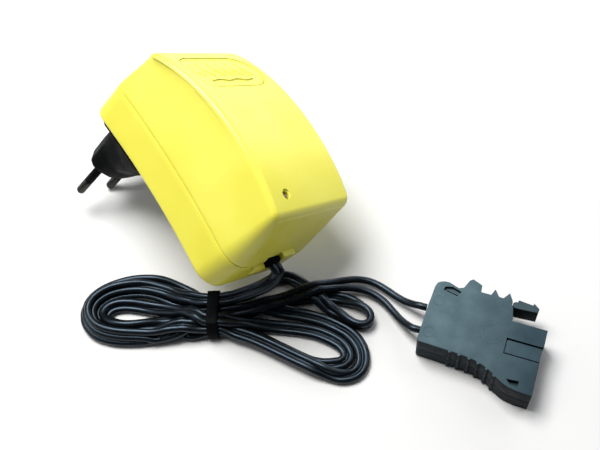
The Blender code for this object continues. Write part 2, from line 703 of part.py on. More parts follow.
GRIP_SPINE = [(1.6, 0.1), (8, -0.1), (14, -0.3), (20, -0.6), (26, -1.6), (30.6, -3.4),
              (34.6, -6.0), (38.4, -8.0), (43, -8.9), (49.0, -9.2)]
NOSE = [(49.0, 12.3), (49.4, 12.8), (49.4, 20.7), (35.0, 20.7), (34.2, 25.8)]
TEETH = [(33.0, 30.0), (31.2, 32.8), (29.2, 30.0), (27.4, 30.0), (25.2, 32.8), (24.0, 30.0)]
TAB = [(19.8, 30.0), (19.5, 33.2), (15.3, 35.0), (14.0, 33.9), (12.4, 29.8)]
CORNER = [(10.4, 29.0), (8.2, 29.8), (6.2, 30.5), (3.8, 30.3), (1.7, 29.2), (0.8, 27.2)]
WIRE_END = [(0.2, 14.0), (0.0, 1.6), (0.4, 0.5)]
GRIP_WINDOW = [(37.9, -5.0), (39.9, -7.1), (42.8, -7.6), (43.0, -4.6)]
CORNER_POCKET = [(4.6, 26.2), (10.8, 24.9), (12.0, 27.4), (8.0, 28.7), (5.0, 28.0)]
RIBS = [(14.0, -0.3, -1), (18.0, -0.5, -3), (22.1, -0.9, -8),
        (26.0, -1.7, -16), (29.8, -3.1, -26), (33.2, -5.1, -33)]      # x, y and lean in degrees


def connector_outline():
    """Plan of the connector's body, from the grip side round the mating end."""
    spine = smooth_open([Vector(p) for p in GRIP_SPINE], 3)
    return [tuple(p) for p in spine] + NOSE + TEETH + TAB + CORNER + WIRE_END


def extrude(outline, z0, z1):
    """Closed prism on a plan outline."""
    n = len(outline)
    verts = [(x, y, z) for z in (z0, z1) for x, y in outline]
    tris = tessellate_polygon([[Vector((x, y, 0)) for x, y in outline]])
    faces = bridge(n, 0, n)
    faces += [tuple(t) for t in tris] + [tuple(i + n for i in reversed(t)) for t in tris]
    return verts, faces


def make_connector(pose):
    """Two half shells with the latch's slot and pivot, two contact cavities and grip ribs."""
    pivot = lathe([(LATCH_R + GAP, -1), (LATCH_R + GAP, 16)], 24, LATCH_PIVOT)
    slot = box(LATCH_PIVOT[0], 50.0, 20.8, 31.0, -1, 16)
    cavities = [box(8.0, 52.0, y - 3.4, y + 3.4, 3.4, 10.8) for y in CAVITY_Y]
    levels = (("connector_shell", 0.0, CONN_SPLIT - GAP / 2),
              ("connector_cover", CONN_SPLIT + GAP / 2, CONN_H))
    for name, low, high in levels:
        shell = add_object(name, *extrude(connector_outline(), low, high), pose, "slate", 0.55)
        for k, tool in enumerate([pivot, slot] + cavities):
            boolean(shell, cutter("cut_%d_%s" % (k, name), *tool, pose), "DIFFERENCE")
        for k, spot in enumerate(RIBS):
            tool = cutter("add_rib_%d_%s" % (k, name), *extrude(rib_plan(*spot), low, high), pose)
            boolean(shell, tool, "UNION")
    top = CONN_H + 1
    channel = box(34.4, 50.0, 5.4, 12.6, CONN_H - 1.3, top)
    window = extrude(GRIP_WINDOW, CONN_H - 2.4, top)
    corner = extrude(CORNER_POCKET, CONN_H - 3.0, top)
    for tag, tool in (("channel", channel), ("window", window), ("corner", corner)):
        boolean(shell, cutter("cut_" + tag, *tool, pose), "DIFFERENCE")
    make_latch(pose)
    make_terminals(pose)


def rib_plan(x, y, lean):
    """Plan of one grip rib, turned to stand square on the curved side."""
    a = radians(lean)
    profile = [(-0.9, 1.0), (-0.6, -0.5), (0.0, -RIB_OUT), (0.6, -0.5), (0.9, 1.0)]
    return [(x + u * cos(a) - v * sin(a), y + u * sin(a) + v * cos(a)) for u, v in profile]


def make_latch(pose):
    """Sprung arm with a hook; its origin is on the hinge axis at its root."""
    round_root = [(LATCH_R * cos(radians(a)), LATCH_R * sin(radians(a)))
                  for a in range(80, 281, 20)]
    arm = [(1.2, -LATCH_R), (9.2, -1.0), (9.4, 1.0), (6.9, 3.0), (6.6, 2.0), (0.6, 2.6)]
    frame = pose @ Matrix.Translation(Vector((*LATCH_PIVOT, 0)) * MM)
    add_object("connector_latch", *extrude(round_root + arm, *LATCH_Z), frame, "slate", 0.55)


def make_terminals(pose):
    """Crimped contacts in the two cavities, and the wedge that locks them."""
    for tag, y in zip("ab", CAVITY_Y):
        rings = []
        for x, hy, z0, z1 in ((9.0, 2.0, 5.2, 9.2), (13.0, 2.0, 5.2, 9.2), (13.6, 1.2, 5.8, 8.0),
                              (17.0, 1.2, 5.8, 8.0), (17.6, 2.9, 5.0, 8.6), (36.0, 2.9, 5.0, 8.6)):
            rings.append([(x, y - hy, z0), (x, y + hy, z0), (x, y + hy, z1), (x, y - hy, z1)])
        add_object("terminal_" + tag, *loft(rings), pose, "brass", 0.3, 1.0)
    add_object("terminal_keeper", *box(22.0, 33.0, CAVITY_Y[0] - 3.0, CAVITY_Y[0] + 3.0, 9.0, 10.4),
               pose, "white", 0.5)


def main():
    clear_scene()
    adapter = adapter_pose()
    make_housing(adapter)
    make_gland(adapter)
    make_plug(adapter)
    make_transformer(adapter)
    make_board(adapter)
    make_straps(adapter)
    make_cord(layout())
    make_connector(connector_pose())


main()
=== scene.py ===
"""Visual model of a wall-plug battery charger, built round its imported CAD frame.

Shapes are in millimetres in three local frames: the housing (X across, Y towards the pins,
Z to the front), the connector, and the table on which the cord lies."""
from math import cos, pi, radians, sin, sqrt

import bmesh
import bpy
import numpy as np
from mathutils import Matrix, Vector
from mathutils.geometry import tessellate_polygon


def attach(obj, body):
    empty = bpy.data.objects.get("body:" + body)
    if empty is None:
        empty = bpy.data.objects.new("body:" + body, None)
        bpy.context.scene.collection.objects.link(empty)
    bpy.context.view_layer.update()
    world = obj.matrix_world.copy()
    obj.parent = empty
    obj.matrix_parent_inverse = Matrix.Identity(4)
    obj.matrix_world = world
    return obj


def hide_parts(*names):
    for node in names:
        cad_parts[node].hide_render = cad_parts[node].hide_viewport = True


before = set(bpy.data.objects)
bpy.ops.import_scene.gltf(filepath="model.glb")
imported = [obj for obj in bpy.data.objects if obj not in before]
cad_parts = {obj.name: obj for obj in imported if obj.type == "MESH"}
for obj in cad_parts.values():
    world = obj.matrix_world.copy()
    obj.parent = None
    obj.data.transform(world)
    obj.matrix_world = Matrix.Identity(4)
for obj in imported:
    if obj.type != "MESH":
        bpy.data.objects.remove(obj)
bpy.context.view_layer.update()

MM = 0.001
CHARGER = "charger"
LATCH = "latch"

# Places of the three local frames, as in the CAD.
LAYOUT_TURN = 19.6
LAYOUT_SHIFT = (39.42, 8.15)
POSE_ORIGIN = (-62.2, 28.6, 43.805)
POSE_ACROSS = (0.521, 0.571, -0.635)
POSE_FRONT = (0.680, 0.173, 0.713)
CONN_POS = (48.3, -66.9)
CONN_ANGLE = -19.6

# Camera, in the table frame (mm).
CAMERA_AT = (20.2, -223.4, 345.9)
CAMERA_RIGHT = (0.9983, 0.0, -0.0582)
CAMERA_UP = (0.0316, 0.8404, 0.5411)
CAMERA_BACK = (0.0489, -0.542, 0.839)
CAMERA_LENS = 53.276

CORE_D = 3.2              # diameter of one insulated core
EXIT_X = -3.0             # cord exit in the housing's cord-end face
EXIT_Z = 15.4
CORD_END = -83.5


# ------------------------------------------------------------------ frames

def turn(degrees):
    return Matrix.Rotation(radians(degrees), 4, "Z")


def table_frame():
    return Matrix.Translation(Vector((*LAYOUT_SHIFT, 0)) * MM) @ turn(LAYOUT_TURN)


def housing_frame():
    across = Vector(POSE_ACROSS).normalized()
    front = Vector(POSE_FRONT)
    front = (front - across * front.dot(across)).normalized()
    rot = Matrix((across, front.cross(across), front)).transposed().to_4x4()
    return table_frame() @ Matrix.Translation(Vector(POSE_ORIGIN) * MM) @ rot


def connector_frame():
    place = Matrix.Translation(Vector((*CONN_POS, 0)) * MM)
    return table_frame() @ place @ turn(CONN_ANGLE)


TABLE = table_frame()
HOUSING = housing_frame()
CONNECTOR = connector_frame()


def make_camera():
    data = bpy.data.cameras.new("camera")
    data.sensor_width = 36.0
    data.lens = CAMERA_LENS
    data.clip_start = 0.01
    camera = bpy.data.objects.new("camera", data)
    bpy.context.scene.collection.objects.link(camera)
    axes = Matrix((CAMERA_RIGHT, CAMERA_UP, CAMERA_BACK)).transposed().to_4x4()
    camera.matrix_world = TABLE @ Matrix.Translation(Vector(CAMERA_AT) * MM) @ axes
    bpy.context.scene.camera = camera


make_camera()


# --------------------------------------------------------------- materials

class Nodes:
    """Short names for building one procedural material."""

    def __init__(self, name, colour, rough, metal=0.0, coat=0.0, tint=None, specular=0.5):
        self.mat = bpy.data.materials.new(name)
        self.mat.use_nodes = True
        self.tree = self.mat.node_tree
        self.shader = self.tree.nodes["Principled BSDF"]
        self.shader.inputs["Base Color"].default_value = (*colour, 1)
        self.shader.inputs["Roughness"].default_value = rough
        self.shader.inputs["Metallic"].default_value = metal
        self.shader.inputs["Coat Weight"].default_value = coat
        self.shader.inputs["Coat Roughness"].default_value = 0.12
        self.shader.inputs["Specular IOR Level"].default_value = specular
        if tint:
            self.shader.inputs["Specular Tint"].default_value = (*tint, 1)
        self.place = self.add("ShaderNodeTexCoord").outputs["Object"]

    def add(self, kind, **values):
        node = self.tree.nodes.new(kind)
        for key, value in values.items():
            setattr(node, key, value)
        return node

    def link(self, source, target):
        self.tree.links.new(source, target)

    def noise(self, size_mm, detail=3.0, rough=0.5, place=None):
        """Noise whose features are about size_mm across."""
        node = self.add("ShaderNodeTexNoise")
        node.inputs["Scale"].default_value = 1.0 / (size_mm * MM)
        node.inputs["Detail"].default_value = detail
        node.inputs["Roughness"].default_value = rough
        self.link(place or self.place, node.inputs["Vector"])
        return node.outputs["Fac"]

    def ramp(self, source, stops):
        node = self.add("ShaderNodeValToRGB")
        ramp = node.color_ramp
        while len(ramp.elements) < len(stops):
            ramp.elements.new(0.5)
        for element, (at, colour) in zip(ramp.elements, stops):
            element.position = at
            element.color = (*colour, 1)
        self.link(source, node.inputs["Fac"])
        return node.outputs["Color"]

    def span(self, source, low, high, start=0.3, end=0.7):
        node = self.add("ShaderNodeMapRange")
        node.inputs["From Min"].default_value = start
        node.inputs["From Max"].default_value = end
        node.inputs["To Min"].default_value = low
        node.inputs["To Max"].default_value = high
        self.link(source, node.inputs["Value"])
        return node.outputs["Result"]

    def axis(self, vector, index):
        node = self.add("ShaderNodeSeparateXYZ")
        self.link(vector, node.inputs[0])
        return node.outputs[index]

    def mix(self, factor, a, b, blend="MIX"):
        node = self.add("ShaderNodeMix", data_type="RGBA", blend_type=blend)
        for socket, value in ((0, factor), (6, a), (7, b)):
            if isinstance(value, (float, int)):
                node.inputs[socket].default_value = value
            elif isinstance(value, tuple):
                node.inputs[socket].default_value = (*value, 1)
            else:
                self.link(value, node.inputs[socket])
        return node.outputs[2]

    def colour(self, source):
        self.link(source, self.shader.inputs["Base Color"])

    def roughness(self, source):
        self.link(source, self.shader.inputs["Roughness"])

    def bump(self, layers):
        """Stack of (height source, depth in mm, strength)."""
        normal = None
        for source, depth_mm, strength in layers:
            node = self.add("ShaderNodeBump")
            node.inputs["Distance"].default_value = depth_mm * MM
            node.inputs["Strength"].default_value = strength
            self.link(source, node.inputs["Height"])
            if normal:
                self.link(normal, node.inputs["Normal"])
            normal = node.outputs["Normal"]
        self.link(normal, self.shader.inputs["Normal"])


# The default tones are the cover's: the plastic's yellow, with its blue raised as painted sheen. The back
# passes plainer tones of its own.
def yellow_plastic(name, light=(0.66, 0.625, 0.084), deep=(0.62, 0.575, 0.052), grain=0.35):
    """Spark-textured ABS: soft colour drift, fine grain, faint darker specks."""
    n = Nodes(name, light, 0.36, coat=0.05, specular=0.4)
    drift = n.ramp(n.noise(26, 2), [(0.3, deep), (0.7, light)])
    specks = n.ramp(n.noise(0.9, 1), [(0.62, (1, 1, 1)), (0.8, (0.93, 0.92, 0.86))])
    n.colour(n.mix(0.6, drift, specks, "MULTIPLY"))
    n.roughness(n.span(n.noise(7, 4), 0.30, 0.44))
    n.bump([(n.noise(9, 2), 0.10, 0.25), (n.noise(grain, 2, 0.6), 0.02, 0.5)])
    return n.mat


def cord_rubber(name):
    """Glossy black PVC with faint bumps and dust."""
    n = Nodes(name, (0.002, 0.0025, 0.003), 0.3, tint=(0.55, 0.76, 1.0), specular=0.36)
    dust = n.ramp(n.noise(3.5, 4, 0.6), [(0.45, (0.0018, 0.0023, 0.0028)), (0.85, (0.005, 0.006, 0.0075))])
    n.colour(dust)
    n.roughness(n.span(n.noise(5, 3), 0.26, 0.40))
    n.bump([(n.noise(6, 2), 0.12, 0.3), (n.noise(0.7, 2), 0.02, 0.35)])
    return n.mat


def slate_plastic(name, painted_shade_tone=1.0):
    """Matt grey-green nylon: clouds, with painted shade that darkens it towards the mating end and on the
    faces that do not face up.
    """
    n = Nodes(name, (0.032, 0.058, 0.070), 0.58, tint=(0.8, 0.94, 1.0), specular=0.12)
    clouds = n.ramp(n.noise(9, 3, 0.55), [(0.3, (0.042, 0.070, 0.084)), (0.72, (0.066, 0.104, 0.122))])
    scuffs = n.ramp(n.noise(1.1, 4, 0.7), [(0.58, (1, 1, 1)), (0.8, (1.25, 1.25, 1.22))])
    # Painted shade: the colour falls to about 0.4 of itself from x = 15 mm to 44 mm towards the mating
    # end, standing in for light that falls off there.
    along = n.span(n.axis(n.place, 0), 0, 1, 15 * MM, 44 * MM)
    painted_mating_end_shade = n.ramp(along, [(0, (1, 1, 1)), (1, (0.36, 0.43, 0.47))])
    # Painted shade: faces that turn away from straight up are darkened to about 0.14 of the colour, as if
    # lit only from above.
    upward = n.span(n.axis(n.add("ShaderNodeTexCoord").outputs["Normal"], 2), 0, 1, 0.3, 0.8)
    sides = n.ramp(upward, [(0, (0.13, 0.14, 0.16)), (1, (1, 1, 1))])
    # Painted shade: a tone below 1 darkens the whole colour, making a shaded copy of the slate.
    clouds = n.mix(1.0, clouds, (painted_shade_tone, painted_shade_tone, painted_shade_tone), "MULTIPLY")
    face = n.mix(1.0, n.mix(0.5, clouds, scuffs, "MULTIPLY"), painted_mating_end_shade, "MULTIPLY")
    n.colour(n.mix(1.0, face, sides, "MULTIPLY"))
    n.roughness(n.span(n.noise(4, 3), 0.46, 0.62))
    n.bump([(n.noise(5, 2), 0.10, 0.3), (n.noise(0.32, 2, 0.6), 0.025, 0.6)])
    return n.mat


def black_plastic(name, rough=0.42):
    """Moulded black plug plastic, slightly blue in the light."""
    n = Nodes(name, (0.002, 0.0022, 0.0025), rough, tint=(0.75, 0.86, 1.0), specular=0.06)
    n.shader.inputs["IOR"].default_value = 1.25
    n.colour(n.ramp(n.noise(6, 3), [(0.35, (0.0016, 0.0018, 0.0020)), (0.75, (0.0035, 0.0038, 0.0042))]))
    n.roughness(n.span(n.noise(4, 4), rough - 0.07, rough + 0.08))
    n.bump([(n.noise(0.4, 2, 0.6), 0.025, 0.3)])
    return n.mat


def brushed_metal(name, colour, rough=0.26, streak=(1, 1, 14)):
    """Drawn or rolled metal: long fine streaks and small dull marks."""
    n = Nodes(name, colour, rough, metal=1.0)
    stretch = n.add("ShaderNodeMapping")
    stretch.inputs["Scale"].default_value = [1.0 / s for s in streak]
    n.link(n.place, stretch.inputs["Vector"])
    lines = n.noise(0.25, 3, 0.6, stretch.outputs["Vector"])
    dark = tuple(c * 0.72 for c in colour)
    n.colour(n.mix(0.8, n.ramp(n.noise(2.2, 3), [(0.35, dark), (0.65, colour)]),
                   n.ramp(lines, [(0.3, (0.86, 0.86, 0.86)), (0.7, (1, 1, 1))]), "MULTIPLY"))
    n.roughness(n.span(lines, rough - 0.08, rough + 0.14))
    n.bump([(lines, 0.012, 0.6)])
    return n.mat


def plain_moulding(name, colour, rough, size=3.0, metal=0.0, contrast=0.8):
    """General part surface with two tones, uneven gloss and grain."""
    n = Nodes(name, colour, rough, metal=metal)
    dark = tuple(c * contrast for c in colour)
    n.colour(n.ramp(n.noise(size, 4, 0.6), [(0.3, dark), (0.7, colour)]))
    n.roughness(n.span(n.noise(size * 0.6, 3), max(0.05, rough - 0.08), min(1.0, rough + 0.1)))
    n.bump([(n.noise(0.5, 2), 0.02, 0.4)])
    return n.mat


def banded(name, colour, pitch_mm, rough, metal, dark=0.55):
    """Windings and laminations: fine parallel bands across the part."""
    n = Nodes(name, colour, rough, metal=metal)
    local = n.add("ShaderNodeMapping", vector_type="TEXTURE")
    local.inputs["Rotation"].default_value = HOUSING.to_euler()
    n.link(n.place, local.inputs["Vector"])
    wave = n.add("ShaderNodeTexWave", wave_type="BANDS", bands_direction="Y")
    wave.inputs["Scale"].default_value = 1.0 / (pitch_mm * MM * 3.2)
    wave.inputs["Distortion"].default_value = 0.4
    n.link(local.outputs["Vector"], wave.inputs["Vector"])
    lines = wave.outputs["Fac"]
    n.colour(n.ramp(lines, [(0.0, tuple(c * dark for c in colour)), (0.6, colour)]))
    n.roughness(n.span(n.noise(2, 3), rough - 0.06, rough + 0.1))
    n.bump([(lines, 0.15, 0.8)])
    return n.mat


# ------------------------------------------------------------- mesh helpers

def add_mesh(name, verts, faces, pose, mat, body=CHARGER, smooth=32):
    """Make a piece from points in mm, placed by pose, riding on a body."""
    mesh = bpy.data.meshes.new(name)
    mesh.from_pydata([tuple(c * MM for c in v) for v in verts], [], faces)
    bm = bmesh.new()
    bm.from_mesh(mesh)
    bmesh.ops.remove_doubles(bm, verts=bm.verts, dist=2e-6)
    bmesh.ops.recalc_face_normals(bm, faces=bm.faces)
    bm.to_mesh(mesh)
    bm.free()
    obj = bpy.data.objects.new(name, mesh)
    bpy.context.scene.collection.objects.link(obj)
    obj.matrix_world = pose
    mesh.materials.append(mat)
    obj["smooth_angle"] = smooth
    if body:
        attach(obj, body)
    return obj


def cut(target, verts, faces, pose, how="DIFFERENCE"):
    """Cut a closed shape from a piece, or join it on, and keep the result."""
    tool = add_mesh("tool", verts, faces, pose, target.data.materials[0], body=None)
    mod = target.modifiers.new("cut", "BOOLEAN")
    mod.operation = how
    mod.solver = "EXACT"
    mod.object = tool
    apply_all(target)
    bpy.data.objects.remove(tool, do_unlink=True)


def apply_all(obj):
    """Replace a piece's mesh by its evaluated one."""
    bpy.context.view_layer.update()
    graph = bpy.context.evaluated_depsgraph_get()
    mesh = bpy.data.meshes.new_from_object(obj.evaluated_get(graph))
    obj.modifiers.clear()
    bm = bmesh.new()
    bm.from_mesh(mesh)
    bmesh.ops.remove_doubles(bm, verts=bm.verts, dist=2e-6)
    bmesh.ops.dissolve_degenerate(bm, edges=bm.edges, dist=1e-6)
    bm.to_mesh(mesh)
    bm.free()
    obj.data = mesh


def round_edges(obj, width, segments=3, angle=28):
    """Bevel the sharp edges; width is in mm."""
    mod = obj.modifiers.new("round", "BEVEL")
    mod.width = width * MM
    mod.segments = segments
    mod.limit_method = "ANGLE"
    mod.angle_limit = radians(angle)
    apply_all(obj)


def finish_mesh(obj):
    """Shade smooth, with the edges above the piece's angle kept sharp."""
    mesh = obj.data
    bm = bmesh.new()
    bm.from_mesh(mesh)
    limit = radians(obj["smooth_angle"])
    for edge in bm.edges:
        edge.smooth = len(edge.link_faces) == 2 and edge.calc_face_angle(0.0) < limit
    for face in bm.faces:
        face.smooth = True
    bm.to_mesh(mesh)
    bm.free()
    del obj["smooth_angle"]


def settle(obj):
    """Move a piece's place from its object into its mesh, so that its box is tight."""
    obj.data.transform(obj.matrix_world)
    obj.matrix_world = Matrix()


def bridge(count, a, b, closed=True):
    last = count if closed else count - 1
    return [(a + i, a + (i + 1) % count, b + (i + 1) % count, b + i) for i in range(last)]


def loft(rings, caps=True):
    n = len(rings[0])
    verts = [p for ring in rings for p in ring]
    faces = [tuple(reversed(range(n)))] if caps else []
    for k in range(len(rings) - 1):
        faces += bridge(n, k * n, (k + 1) * n)
    if caps:
        faces.append(tuple(range((len(rings) - 1) * n, len(rings) * n)))
    return verts, faces


def circle(centre, radius, sides):
    angles = [2 * pi * i / sides for i in range(sides)]
    return [(centre[0] + radius * cos(a), centre[1] + radius * sin(a)) for a in angles]


def lathe(profile, sides, centre=(0, 0)):
    """Solid of revolution from (radius, height) pairs."""
    return loft([[(x, y, z) for x, y in circle(centre, r, sides)] for r, z in profile])


def turned_ring(profile, sides, centre):
    """Solid of revolution from a closed profile, with a hole through its middle."""
    rings = [[(x, y, z) for x, y in circle(centre, r, sides)] for r, z in profile]
    verts, faces = loft(rings, caps=False)
    return verts, faces + bridge(sides, (len(profile) - 1) * sides, 0)


def box(x0, x1, y0, y1, z0, z1):
    return loft([[(x0, y0, z), (x1, y0, z), (x1, y1, z), (x0, y1, z)] for z in (z0, z1)])


def unit(v):
    return v / np.maximum(np.linalg.norm(v, axis=-1, keepdims=True), 1e-9)


def smooth_open(points, steps):
    """Catmull-Rom curve through the points, ends included, as an array."""
    p = np.array(points, float)
    p = np.vstack([2 * p[0] - p[1], p, 2 * p[-1] - p[-2]])
    t = np.linspace(0, 1, steps, endpoint=False)[:, None]
    out = []
    for i in range(1, len(p) - 2):
        a, b, c, d = p[i - 1:i + 3]
        out.append(0.5 * (2 * b + (c - a) * t + (2 * a - 5 * b + 4 * c - d) * t ** 2
                          + (3 * b - a - 3 * c + d) * t ** 3))
    return np.vstack(out + [p[-2:-1]])


def extrude(outline, z0, z1):
    n = len(outline)
    verts = [(p[0], p[1], z) for z in (z0, z1) for p in outline]
    tris = tessellate_polygon([[Vector((p[0], p[1], 0)) for p in outline]])
    faces = bridge(n, 0, n)
    return verts, faces + [tuple(t) for t in tris] + [tuple(i + n for i in reversed(t)) for t in tris]


def inset(outline, distance):
    """Move an anticlockwise outline inwards by a distance, with mitred corners."""
    p = np.array(outline, float)
    edge = unit(np.roll(p, -1, 0) - p)
    normal = np.stack([-edge[:, 1], edge[:, 0]], 1)
    before = np.roll(normal, 1, 0)
    mitre = (before + normal) / np.maximum(0.35, 1 + (before * normal).sum(1))[:, None]
    return p + mitre * distance


def rounded_slab(outline, z0, z1, edge):
    """Prism on an outline, with rounded lower and upper edges."""
    turns = [(edge * (1 - sin(a)), edge * (1 - cos(a))) for a in (0, pi / 6, pi / 3, pi / 2)]
    levels = [(d, z0 + rise) for d, rise in turns] + [(d, z1 - rise) for d, rise in reversed(turns)]
    n = len(outline)
    verts, faces = [], []
    for d, z in levels:
        verts += [(x, y, z) for x, y in inset(outline, d)]
    for k in range(len(levels) - 1):
        faces += bridge(n, k * n, (k + 1) * n)
    top = len(verts) - n
    tris = tessellate_polygon([[Vector((x, y, 0)) for x, y, z in verts[:n]]])
    return verts, faces + [tuple(t) for t in tris] + [tuple(i + top for i in reversed(t)) for t in tris]


# -------------------------------------------------------------------- cord
# All in mm on the table. A point is the middle of the twin cord and its roll: 0 where the
# two cores lie side by side, 1 where they stand on edge.

STEP = 1.6                # spacing of the points that stand for the cord
TIE_MID = -37.0           # where the tie crosses the hank
TIE_HALF = 4.0
TWIN_PITCH = CORE_D * 0.98    # distance between the twin's two cores
COLUMN = (-41.0, -6.4)    # first column of the hank in the tie, and the next one's step
LAYER = (2.8, 3.0)        # first layer's height in the tie, and the next one's step

LEAD = [(-8.8, -39.3, 31.2, 0), (-7.0, -42.0, 30.0, 0), (-8.3, -43.6, 27.0, 0),
        (-13, -42.5, 22.1, 0), (-19, -41.9, 17.5, 0), (-25.2, -41.7, 13.6, 0)]
LEFT_OUTER = [(-50, -36.8), (-60, -31.0), (-69, -28.8), (-79, -30.0), (-88, -33.2),
              (-94.6, -40.4), (-93.2, -49.0), (-86.4, -54.4), (-77, -56.4), (-64, -56.0), (-51, -55.2)]
LEFT_INNER = [(-50, -46.6), (-60, -44.2), (-69, -41.8), (-77, -40.4), (-83.4, -41.4),
              (-86.2, -46.0), (-83.4, -50.8), (-77, -52.6), (-69, -52.4), (-60, -51.2), (-50, -49.4)]
RIGHT_OUTER = [(-20, -58.6), (-6, -66.2), (7, -73.0), (17, -77.0), (24.8, -75.4), (27.2, -68.5),
               (25.2, -61.8), (19.2, -55.4), (11, -50.4), (1, -47.4), (-10, -45.2), (-22, -43.2)]
RIGHT_INNER = [(-20, -57.4), (-6, -64.8), (4, -70.4), (12, -72.2), (19.2, -70.6), (21.0, -66.2),
               (18.4, -61.0), (12, -57.4), (4, -55.0), (-6, -53.4), (-15, -52.4), (-24, -52.0)]
SMALL_LOOP = [(-25, -45.6, 1.7, 0), (-15, -42.3, 1.7, 0), (-6, -40.2, 1.7, 0), (3, -38.8, 1.7, 0),
              (12, -38.6, 1.7, 0.2), (20, -40.2, 2.4, 0.7), (27.4, -44.0, 3.3, 1),
              (31.4, -49.4, 3.3, 1), (29.8, -54.2, 3.3, 1), (24.6, -54.2, 3.3, 1),
              (18, -49.6, 3.3, 0.8), (12, -44.4, 4.0, 0.3), (6.6, -38.6, 5.2, 0),
              (1.4, -33.0, 4.2, 0), (-4, -28.2, 2.2, 0), (-10, -28.2, 1.7, 0),
              (-15.5, -32.2, 1.9, 0), (-23, -36.6, 3.2, 0)]
TAIL = [(-24, -46.6, 7.6, 0), (-15, -44.4, 8.8, 0), (-8, -42.6, 9.2, 0), (-1, -40.0, 9.6, 0),
        (8, -37.2, 9.4, 0), (15, -35.0, 8.5, 0)]
WIRE_A = [(20.4, -31.9, 7.5), (25, -30.9, 6.6), (30.5, -31.5, 6.0), (36, -34.6, 5.8),
          (40.5, -39, 5.8), (45, -43.6, 6.4), (50.6, -46.9, 7.1), (54.5, -48.3, 7.1)]
WIRE_B = [(20.8, -35.7, 7.7), (26, -35.8, 6.8), (32.1, -38.0, 6.2), (37.3, -42.4, 6.0),
          (40.4, -47.6, 6.0), (43.4, -53.2, 6.4), (47.1, -57.3, 7.1), (50.8, -58.7, 7.1)]

# One row for each time round the hank: the slot (column, layer) in which it goes left through
# the tie, how far out it turns at the left end (0 inside, 1 outside), the heights of that turn,
# the slot in which it comes back, and the same for the right end.
TURNS = [
    {"left_slot": (0.25, 2), "left": 0.72, "left_z": (6.8, 6.5, 6.6), "left_roll": 0.6,
     "right_slot": (2, 1), "right": 1.0, "right_z": (5.0, 2.0, 3.8)},
    {"left_slot": (0, 0), "left": 1.0, "left_z": (3.3, 3.3, 2.4), "left_roll": 1.0,
     "right_slot": (1, 0), "right": None},
    {"left_slot": (0, 1), "left": 0.62, "left_z": (2.4, 2.2, 1.8), "left_roll": 0.3,
     "right_slot": (2, 0), "right": 0.0, "right_z": (1.7, 1.7, 6.4)},
    {"left_slot": (1.7, 2), "left": 0.0, "left_z": (6.0, 4.9, 5.6), "left_roll": 0.5,
     "right_slot": (1, 1), "right": None},
]


def tie_pass(slot, leftward):
    """Three points through the tie in one slot."""
    y = COLUMN[0] + COLUMN[1] * slot[0]
    z = LAYER[0] + LAYER[1] * slot[1]
    points = [(x, y, z, 0) for x in (TIE_MID + TIE_HALF, TIE_MID, TIE_MID - TIE_HALF)]
    return points if leftward else points[::-1]


def lane(inner, outer, out, heights, roll):
    """A turn between an inner and an outer line, on edge at its middle."""
    points = []
    for i, (a, b) in enumerate(zip(inner, outer)):
        t = i / (len(inner) - 1)
        z = np.interp(t, (0, 0.5, 1), heights)
        edge = roll * min(1.0, 1.6 * sin(pi * t))
        points.append((a[0] + (b[0] - a[0]) * out, a[1] + (b[1] - a[1]) * out, z, edge))
    return points


def cord_route():
    route = list(LEAD)
    for k, row in enumerate(TURNS):
        route += tie_pass(row["left_slot"], True)
        route += lane(LEFT_INNER, LEFT_OUTER, row["left"], row["left_z"], row["left_roll"])
        route += tie_pass(row["right_slot"], False)
        if row["right"] is not None:
            route += lane(RIGHT_INNER, RIGHT_OUTER, row["right"], row["right_z"], 0.0)
        elif k == 1:
            route += SMALL_LOOP
    return route + TAIL


def spaced(line, step):
    """The line again with its points step apart; extra columns are carried along."""
    along = np.concatenate([[0], np.cumsum(np.linalg.norm(np.diff(line[:, :3], axis=0), axis=1))])
    at = np.linspace(0, along[-1], int(round(along[-1] / step)) + 1)
    return np.stack([np.interp(at, along, line[:, k]) for k in range(line.shape[1])], 1)


def two_cores():
    """First guess of both cores: the twin's middle line, offset either way by its roll."""
    line = spaced(smooth_open(cord_route(), 12), STEP)
    middle, roll = line[:, :3], line[:, 3:]
    along = unit(np.gradient(middle, axis=0))
    flat = unit(np.cross(along, (0, 0, 1.0)))
    up = np.cross(flat, along)
    side = unit(flat * np.cos(roll * pi / 2) + up * np.sin(roll * pi / 2))
    gland_side = np.array(POSE_ACROSS)
    if side[0] @ gland_side < 0:
        gland_side = -gland_side
    share = np.clip(np.arange(len(side)) / 12, 0, 1)[:, None]
    side = unit(gland_side * (1 - share) + side * share)
    a, b = middle + side * TWIN_PITCH / 2, middle - side * TWIN_PITCH / 2
    if np.linalg.norm(a[-1] - WIRE_A[0]) > np.linalg.norm(b[-1] - WIRE_A[0]):
        a, b = b, a
    ends = [spaced(smooth_open(np.vstack([c[-2:], wire]), 12), STEP)[2:]
            for c, wire in ((a, WIRE_A), (b, WIRE_B))]
    return np.vstack([a, ends[0]]), np.vstack([b, ends[1]]), len(middle)


def close_pairs(points, index, reach, skip):
    """Pairs of points nearer than reach, leaving out neighbours along one core."""
    first, second = [], []
    for start in range(0, len(points), 200):
        gap = ((points[start:start + 200, None] - points[None]) ** 2).sum(2)
        i, j = np.nonzero(gap < reach ** 2)
        i = i + start
        keep = (i < j) & (np.abs(index[i] - index[j]) > skip)
        first.append(i[keep])
        second.append(j[keep])
    return np.concatenate(first), np.concatenate(second)


